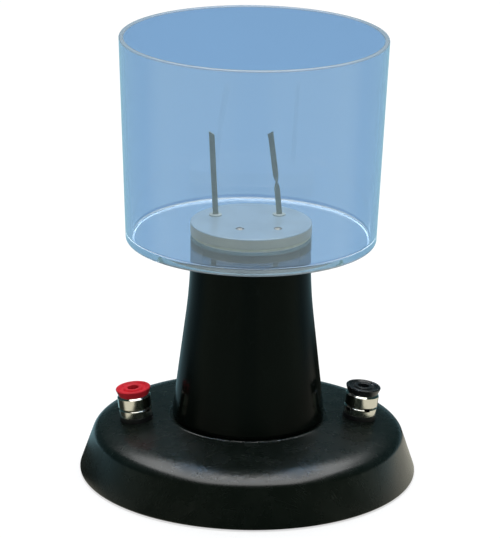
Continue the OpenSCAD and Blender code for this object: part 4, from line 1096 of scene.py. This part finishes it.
class APPARATUS_OT_electrodes(bpy.types.Operator):
    """Make the two strip electrodes"""

    bl_idname = "apparatus.electrodes"
    bl_label = "Electrodes"

    def execute(self, context):
        s = settings(context, "electrode")
        top = high_z("plug")
        dull = self.strip_metal(settings(context, "finish").strip)
        section = strip_section(s.strip_w / 2, s.strip_t / 2, s.rounding)
        end = s.twist_start + s.twist_length
        straight = [-s.tail, s.bend, s.height]
        bent = [-s.tail, s.bend, s.twist_start, end, s.height]
        run = (s.height - s.bend) * math.tan(s.left_lean)
        shift_1 = (s.twist_start - s.bend) * math.tan(s.right_lean)
        shift_2 = shift_1 + s.twist_length * math.tan((s.right_lean + s.upper_lean) / 2)
        shift_3 = shift_2 + (s.height - end) * math.tan(s.upper_lean)
        plans = (
            ("left", s.left_x, straight, [0, 0, run], 0.0),
            ("right", s.right_x, bent, [0, 0, shift_1, shift_2, shift_3], s.twist_turn),
        )
        for side, x, heights, shifts, turn in plans:
            h = np.linspace(-s.tail, s.height, 120)
            share = np.clip((h - s.twist_start) / s.twist_length, 0, 1)
            angles = turn * share**2 * (3 - 2 * share)
            shape = self.strip(section, h, np.interp(h, heights, shifts), angles, s.tip_drop)
            make(f"{side}_strip", shape.moved((x, s.place_y, top)), f"{side}_electrode", dull)
        return {"FINISHED"}

    def strip(self, section, h, shift, angles, drop):
        """A strip: at height h the section is turned by its angle and pushed left by its shift. Near the tip
        the height falls with the distance across the section, which makes the slanting cut."""
        c, s = np.cos(angles)[:, None], np.sin(angles)[:, None]
        x, y = section[:, 0], section[:, 1]
        across = (x - x.min()) / (x.max() - x.min())
        slant = np.clip((h - h[-1] + 2 * drop) / (2 * drop), 0, 1)[:, None] * drop * across
        grid = np.stack([x * c - y * s - shift[:, None], x * s + y * c, h[:, None] - slant], -1)
        return skin(grid, section[:, 2], poles=True)

    def strip_metal(self, base):
        """Drawn strip, dulled by use: streaks along its length and a grey dulling in patches."""
        material, tree, shader, coords = new_material("electrode_metal", Metallic=0.85)
        streaks = put(tree, "ShaderNodeMapping", {"Vector": coords, "Scale": (1, 1, 0.04)}).outputs[0]
        tone = effect(tree, "tone", coords, Colour=rgba(base), Spread=0.7, Size=2 * MM)
        worn = blend_colour(tree, add_wear(tree, coords, 1.5 * MM, 0.8), tone, toned(base, 1.9))
        tree.links.new(worn, shader.inputs["Base Color"])
        rough = spread(tree, noise(tree, coords, 500.0, 4.0), 0, 1, 0.38, 0.6)
        tree.links.new(rough, shader.inputs["Roughness"])
        add_bump(tree, shader, noise(tree, streaks, 5200.0), 0.006 * MM)
        return material


class APPARATUS_OT_terminals(bpy.types.Operator):
    """Make the caps, knobs, clamp washers, collars, insulating washers and stems of both terminals"""

    bl_idname = "apparatus.terminals"
    bl_label = "Terminals"

    def execute(self, context):
        s, looks = settings(context, "terminal"), settings(context, "finish")
        grain = {"grain_size": 0.2 * MM, "grain_depth": 0.002 * MM}
        caps = {
            "red": moulded("cap_red", looks.cap_red, 0.28, 0.12, worn=1.25, dust=0.04, **grain),
            "black": moulded("cap_black", looks.cap_black, 0.26, 0.5, worn=2.0, dust=0.05, **grain),
        }
        washer_black = moulded(
            "insulator_black", looks.insulator, 0.5, 0.4, 0.3 * MM, 0.006 * MM, worn=1.6, dust=0.04
        )
        lying = [[1, 0, 0], [0, 0, 1], [0, -1, 0]]
        for name, slot_turn in (("red", s.red_slot), ("black", s.black_slot)):
            place = terminal_frame(name)
            tilt = math.atan2(place[1][2][0], place[1][2][2])
            nickel = metal(f"terminal_nickel_{name}", looks.nickel, 0.13, centre=tuple(place[0]), tilt=-tilt)
            make(f"{name}_cap_top", lathe(self.cap(s), 128).moved(*place), f"{name}_cap", caps[name])
            make(f"{name}_knob_body", lathe(self.knob(s), 128).moved(*place), f"{name}_knob", nickel)
            washer = lathe(self.clamp_washer(s), 96).moved(*place)
            make(f"{name}_clamp_ring", washer, f"{name}_clamp_washer", nickel)
            reach, slot_z = s.collar_r + PAST, s.collar_z + s.collar_h - s.slot_h
            slot = block(-s.slot_w / 2, s.slot_w / 2, -reach, reach, slot_z, slot_z + s.slot_h + PAST)
            slot = slot.moved((0, 0, 0), turned(slot_turn)).moved(*place)
            collar = lathe(self.collar(s), 128).moved(*place)
            make(f"{name}_collar_body", collar, f"{name}_collar", nickel, cuts=[slot])
            insulator = lathe(self.insulator(s), 128).moved(*place)
            make(f"{name}_washer", insulator, f"{name}_insulator", washer_black)
            hole = rod(0, 0, -s.stem_r - PAST, s.stem_r + PAST, s.wire_r).moved((0, 0, s.wire_z), lying)
            hole = hole.moved((0, 0, 0), turned(slot_turn)).moved(*place)
            stem = self.stem(s).moved(*place)
            make(f"{name}_stem_screw", stem, f"{name}_stem", nickel, cuts=[hole], smooth=50)
        return {"FINISHED"}

    def cap(self, s):
        """Outline of a cap: raised rim, ring-shaped hollow, raised boss with the hole, and spigot below."""
        z, e, bevel, ease = s.knob_z + s.knob_h, s.cap_edge, s.cap_bevel, s.spigot_round
        top, spigot_z = z + s.cap_h, z - s.spigot_h
        floor = top - s.cap_hollow
        low, rim = s.cap_r - s.cap_taper, s.cap_r - s.cap_rim
        return rounded([
            (s.cap_hole_r, z, 0), (s.cap_bore_r, z, 0), (s.cap_bore_r, spigot_z, ease),
            (s.spigot_r, spigot_z, ease), (s.spigot_r, z, 0), (low, z, e),
            (s.cap_r, top - bevel - GAP, bevel), (s.cap_r - bevel, top, e), (rim, top, e),
            (rim - s.cap_hollow, floor, e),
            (s.cap_boss_r + s.cap_hollow / 2, floor, e), (s.cap_boss_r, top, e), (s.cap_hole_r, top, bevel),
        ])

    def knob(self, s):
        """Outline of a knob: chamfered top, room for the clamp washer below and for the spigot above."""
        z, top, e = s.knob_z, s.knob_z + s.knob_h, s.edge
        spigot, spigot_z, room_z = s.spigot_r + GAP, top - s.spigot_h - GAP, z + s.hollow_h
        return rounded([
            (s.hollow_r, z, e), (s.knob_r - s.knob_bevel, z, e), (s.knob_r, z + s.knob_bevel, e),
            (s.knob_r, top - s.chamfer, e), (s.knob_r - s.chamfer, top, e), (spigot, top, e),
            (spigot, spigot_z, e), (s.running_r, spigot_z, e), (s.running_r, room_z, e),
            (s.hollow_r, room_z, e),
        ])

    def clamp_washer(self, s):
        """Outline of a clamp washer."""
        z, top, e = s.knob_z, s.knob_z + s.washer_h, s.edge
        return rounded([(s.running_r, z, e), (s.washer_r, z, e), (s.washer_r, top, e), (s.running_r, top, e)])

    def collar(self, s):
        """Outline of a collar with its chamfered top."""
        z, top, e = s.collar_z, s.collar_z + s.collar_h, s.edge
        return rounded([
            (s.fixed_r, z, e), (s.collar_r, z, e), (s.collar_r, top - s.chamfer, e),
            (s.collar_r - s.chamfer, top, e), (s.fixed_r, top, e),
        ])

    def insulator(self, s):
        """Outline of an insulating washer."""
        return rounded([
            (s.fixed_r, -s.insulator_seat, s.edge), (s.insulator_r, -s.insulator_seat, s.edge),
            (s.insulator_r, s.collar_z, s.insulator_round), (s.fixed_r, s.collar_z, s.edge),
        ])

    def stem(self, s):
        """A threaded stem with its socket. At angle t and height z the radius is the stem's less the thread's
        depth times a triangle wave in z / pitch - t / (2 pi). The thread fades out at both ends."""
        t = circle(64)
        z = np.linspace(s.stem_z + s.lead_in, s.stem_top - s.tip, 280)[:, None]
        wave = abs(2 * ((z / s.thread_pitch - t / (2 * np.pi)) % 1) - 1)
        fade = np.clip(np.minimum(z - z[0], z[-1] - z) / s.run_out, 0, 1)
        threaded = s.stem_r - s.thread_depth * (1 - fade * (1 - wave))
        threaded = np.where(fade < 1, np.minimum(threaded, s.stem_r), threaded)
        bore_z = s.stem_top - s.socket_l
        ends = [
            (s.stem_r - s.thread_depth - s.tip, s.stem_z), (s.socket_r + s.mouth, s.stem_top),
            (s.socket_r, s.stem_top - s.mouth), (s.socket_r, bore_z), (s.socket_r / 2, bore_z),
        ]
        first = np.full((1, len(t)), ends[0][0])
        rest = np.repeat([[r] for r, _ in ends[1:]], len(t), 1)
        heights = np.concatenate([[[ends[0][1]]], z, [[h] for _, h in ends[1:]]])
        return skin(polar(np.concatenate([first, threaded, rest]), t, heights), poles=True)


class APPARATUS_OT_leads(bpy.types.Operator):
    """Make the two insulated leads inside the base and pedestal"""

    bl_idname = "apparatus.leads"
    bl_label = "Leads"

    # Points in millimetres that the red lead follows, from under the base's top to the pedestal, and that
    # are mirrored for the black one
    ROUTE = (
        (-28, 1, 8.5), (-22, 3, 7), (-15, 5, 8.5), (-9.5, 6.5, 14), (-8, 7, 22), (-9, 7.5, 34), (-10, 8, 50),
    )

    def execute(self, context):
        s, strips, looks = (settings(context, name) for name in ("lead", "electrode", "finish"))
        for name, x in (("red", strips.left_x), ("black", strips.right_x)):
            origin, axes = terminal_frame(name)
            start = origin + np.array([s.solder_x, 0, s.solder_z]) @ axes
            side = np.array([1 if name == "red" else -1, 1, 1])
            clip_z = low_z("left_clip")
            ends = [[x, strips.place_y, clip_z - s.clip_gap], [x, strips.place_y, clip_z]]
            route = np.concatenate([[start, start - [0, 0, s.drop]], np.array(self.ROUTE) * MM * side, ends])
            base = looks.lead_red if name == "red" else looks.lead_black
            plastic = moulded(f"lead_{name}", base, 0.42, 0.5, 0.3 * MM, 0.003 * MM, worn=1.2, dust=0.0)
            make(f"{name}_wire", self.tube(route, s.radius), f"{name}_lead", plastic)
        return {"FINISHED"}

    def tube(self, route, radius, steps=6, sides=20):
        """A round tube along a smooth curve through the route's points. Each span is the cubic that leaves
        and meets its points in the direction of their neighbours, and each ring is square to the curve."""
        p = np.concatenate([[2 * route[0] - route[1]], route, [2 * route[-1] - route[-2]]])
        a, b, c, d = (p[i:len(p) - 3 + i, None] for i in range(4))
        t = np.linspace(0, 1, steps, endpoint=False)[None, :, None]
        square, cube = 2 * a - 5 * b + 4 * c - d, 3 * b - a - 3 * c + d
        path = 0.5 * (2 * b + (c - a) * t + square * t**2 + cube * t**3)
        path = np.concatenate([path.reshape(-1, 3), route[-1:]])
        way = np.gradient(path, axis=0)
        way[0], way[-1] = route[1] - route[0], route[-1] - route[-2]
        way = unit(way)
        u = unit(np.cross(way, [0, 1, 0]))
        v = np.cross(way, u)
        k = circle(sides)[None, :, None]
        return skin(path[:, None] + radius * (np.cos(k) * u[:, None] + np.sin(k) * v[:, None]), poles=True)


class APPARATUS_OT_fittings(bpy.types.Operator):
    """Finish the screws, clips, bushes, tags and nuts, whose CAD shapes stay"""

    bl_idname = "apparatus.fittings"
    bl_label = "Screws, clips and nuts"

    def execute(self, context):
        looks = settings(context, "finish")
        steel = metal("screw_steel", looks.steel, 0.28)
        brass = metal("clip_brass", looks.brass, 0.25)
        tin = metal("tag_tin", looks.tin, 0.35)
        nickel = metal("nut_nickel", looks.nickel, 0.2)
        bush = moulded("bush_black", looks.insulator, 0.5, 0.4, 0.3 * MM, 0.006 * MM, worn=1.6, dust=0.0)
        finishes = {
            steel: ("cover_screws", "pedestal_screws", "clip_screws"),
            brass: ("left_clip", "right_clip"),
            tin: ("red_tag", "black_tag"),
            nickel: ("red_nut", "black_nut"),
            bush: ("red_bush", "black_bush"),
        }
        for material, nodes in finishes.items():
            for node in nodes:
                for slot in frame["nodes"][node].material_slots:
                    slot.material = material
        return {"FINISHED"}


class APPARATUS_OT_stage(bpy.types.Operator):
    """Set the floor, the room's light, the lamps and the camera"""

    bl_idname = "apparatus.stage"
    bl_label = "Stage"

    def execute(self, context):
        s = settings(context, "stage")
        self.make_floor(s)
        self.make_world(context.scene, s)
        self.make_lamp("light_box", (0, s.box_y, s.box_z), (0, s.box_y, 0), (s.box_w, s.box_d), s.key)
        fill_at = (s.fill_out, -s.fill_out, s.fill_z)
        fill = self.make_lamp("fill_lamp", fill_at, (0, 0, s.fill_aim), (s.fill_w, s.fill_w), s.fill)
        fill.visible_glossy = False
        self.make_camera(context.scene, s)
        context.scene.view_settings.view_transform = "Standard"
        return {"FINISHED"}

    def make_floor(self, s):
        """A pale floor that the camera sees white apart from the object's soft shadow, and not from below."""
        h = s.floor
        mesh = bpy.data.meshes.new("floor")
        mesh.from_pydata([(-h, -h, 0), (h, -h, 0), (h, h, 0), (-h, h, 0)], [], [(0, 1, 2, 3)])
        floor = bpy.data.objects.new("floor", mesh)
        bpy.context.scene.collection.objects.link(floor)
        material = bpy.data.materials.new("pale_floor")
        material.use_nodes = True
        tree = material.node_tree
        tree.nodes.clear()
        path = put(tree, "ShaderNodeLightPath").outputs
        seen, lost = self.seen_by(tree, path)
        matt = put(tree, "ShaderNodeBsdfDiffuse", {"Color": (s.matt, s.matt, s.matt, 1)}).outputs[0]
        glow = shining(tree, "Emission", (1, 1, 1, 1), s.glow)
        shown = put(tree, "ShaderNodeAddShader", {0: matt, 1: glow}).outputs[0]
        mirrored = shining(tree, "Emission", self.floor_gloss(tree, s))
        guided = shining(tree, "Emission", rgba(s.lost))
        other = mix_shaders(tree, lost, mix_shaders(tree, path["Is Glossy Ray"], matt, mirrored), guided)
        above = mix_shaders(tree, seen, other, shown)
        below = put(tree, "ShaderNodeBsdfTransparent").outputs[0]
        back = put(tree, "ShaderNodeNewGeometry").outputs["Backfacing"]
        out = tree.nodes.new("ShaderNodeOutputMaterial")
        tree.links.new(mix_shaders(tree, back, above, below), out.inputs["Surface"])
        mesh.materials.append(material)

    def seen_by(self, tree, path):
        """Two masks: light that comes to the camera straight or through the cup, and light that reaches it
        after many turns inside the cup's wall."""
        seen = maths(tree, "MAXIMUM", path["Is Camera Ray"], path["Is Transmission Ray"])
        inside = maths(tree, "GREATER_THAN", path["Transparent Depth"], 0.5)
        return seen, maths(tree, "MULTIPLY", many_turns(tree, path), inside)

    def floor_gloss(self, tree, s):
        """What gloss shows of the floor. Under the object it is grey. Near it, it is pale on both sides of
        the front, blue-grey behind on the left and dark elsewhere. Farther off it is pale in front and
        blue-grey behind. The bands are angles round the object, from the front to the right."""
        coords = put(tree, "ShaderNodeTexCoord").outputs["Object"]
        parts = put(tree, "ShaderNodeSeparateXYZ", {0: coords}).outputs
        turn = maths(tree, "ARCTAN2", parts["X"], maths(tree, "MULTIPLY", parts["Y"], -1.0))

        def soft(value, low, high):
            """Rises smoothly from 0 at low to 1 at high."""
            return spread(tree, value, low, high, interpolation_type="SMOOTHSTEP")

        def band(*degrees):
            """Rises between the first two angles and falls between the last two."""
            a, b, c, d = (math.radians(one) for one in degrees)
            return maths(tree, "SUBTRACT", soft(turn, a, b), soft(turn, c, d))

        sides = maths(tree, "ADD", band(-88, -73, -36, 2), band(13, 34, 110, 130))
        reach = length_of(tree, coords)
        near = blend_colour(tree, sides, rgba(s.shade), rgba(s.bounce))
        near = blend_colour(tree, band(-175, -145, -126, -112), near, rgba(s.behind))
        base_r = width("base_shell") / 2
        near = blend_colour(tree, soft(reach, 0.85 * base_r, base_r), rgba(s.under), near)
        dim = maths(tree, "MULTIPLY", band(-26, -12, 4, 14), 0.35)
        veil = blend_colour(tree, dim, rgba([c * s.veil for c in s.distant]), rgba(s.behind))
        far = blend_colour(tree, band(-110, -80, 75, 105), rgba(s.behind), veil)
        return blend_colour(tree, soft(reach, s.near, s.far), near, far)

    def make_world(self, scene, s):
        """A white room for the camera and through the cup, a dim one for gloss, soft light for the rest."""
        world = bpy.data.worlds.new("room")
        world.use_nodes = True
        tree = world.node_tree
        tree.nodes.clear()
        path = put(tree, "ShaderNodeLightPath").outputs
        seen, lost = self.seen_by(tree, path)
        white = shining(tree, "Background", (1, 1, 1, 1))
        way = put(tree, "ShaderNodeTexCoord").outputs["Generated"]
        depth = put(tree, "ShaderNodeSeparateXYZ", {0: way}).outputs["Y"]
        away = spread(tree, depth, -s.meet, s.meet)
        room = shining(tree, "Background", blend_colour(tree, away, rgba(s.front), rgba(s.backdrop)))
        soft = shining(tree, "Background", (1, 1, 1, 1), s.ambient)
        guided = shining(tree, "Background", rgba(s.lost))
        other = mix_shaders(tree, lost, mix_shaders(tree, path["Is Glossy Ray"], soft, room), guided)
        out = tree.nodes.new("ShaderNodeOutputWorld")
        tree.links.new(mix_shaders(tree, seen, other, white), out.inputs["Surface"])
        scene.world = world

    def make_lamp(self, name, place, aim, size, power):
        """A soft rectangular lamp that faces a point."""
        light = bpy.data.lights.new(name, "AREA")
        light.shape, light.energy = "RECTANGLE", power
        light.size, light.size_y = size
        lamp = bpy.data.objects.new(name, light)
        lamp.location = place
        lamp.rotation_euler = (Vector(aim) - Vector(place)).to_track_quat("-Z", "Y").to_euler()
        bpy.context.scene.collection.objects.link(lamp)
        return lamp

    def make_camera(self, scene, s):
        """The photograph's camera: a long way off, a little above, and rolled by about a degree."""
        data = bpy.data.cameras.new("camera")
        data.lens, data.sensor_width = s.focal, s.sensor
        camera = bpy.data.objects.new("camera", data)
        flat = math.cos(s.elevation)
        back = Vector((math.sin(s.azimuth) * flat, -math.cos(s.azimuth) * flat, math.sin(s.elevation)))
        right = Vector((math.cos(s.azimuth), math.sin(s.azimuth), 0))
        camera.location = right * s.look_x + Vector((0, 0, s.look_z)) + back * s.distance
        camera.rotation_mode = "QUATERNION"
        camera.rotation_quaternion = (-back).to_track_quat("-Z", "Y") @ Quaternion((0, 0, 1), s.roll)
        scene.collection.objects.link(camera)
        scene.camera = camera


class APPARATUS_PT_panel(bpy.types.Panel):
    """Sizes, finishes and steps of the apparatus"""

    bl_idname = "APPARATUS_PT_panel"
    bl_label = "Electrolysis Apparatus"
    bl_space_type = "VIEW_3D"
    bl_region_type = "UI"
    bl_category = "Apparatus"

    def draw(self, context):
        for step in STEPS:
            self.layout.operator(step.bl_idname)
        for name, group in GROUPS.items():
            box = self.layout.box()
            box.label(text=name.capitalize())
            for prop in group.__annotations__:
                box.prop(settings(context, name), prop)


STEPS = (
    APPARATUS_OT_stage,
    APPARATUS_OT_base,
    APPARATUS_OT_pedestal,
    APPARATUS_OT_cup,
    APPARATUS_OT_plug,
    APPARATUS_OT_electrodes,
    APPARATUS_OT_terminals,
    APPARATUS_OT_leads,
    APPARATUS_OT_fittings,
)
CLASSES = (*GROUPS.values(), *STEPS, APPARATUS_PT_panel)


def register():
    """Registers the classes and gives the scene its property groups."""
    for one in CLASSES:
        bpy.utils.register_class(one)
    for name, group in GROUPS.items():
        setattr(bpy.types.Scene, f"apparatus_{name}", PointerProperty(type=group))


def unregister():
    """Takes the property groups and classes away again."""
    for name in GROUPS:
        delattr(bpy.types.Scene, f"apparatus_{name}")
    for one in reversed(CLASSES):
        bpy.utils.unregister_class(one)


def main():
    """Makes the whole object."""
    register()
    for step in STEPS:
        group, name = step.bl_idname.split(".")
        getattr(getattr(bpy.ops, group), name)()


if __name__ == "__main__":
    main()
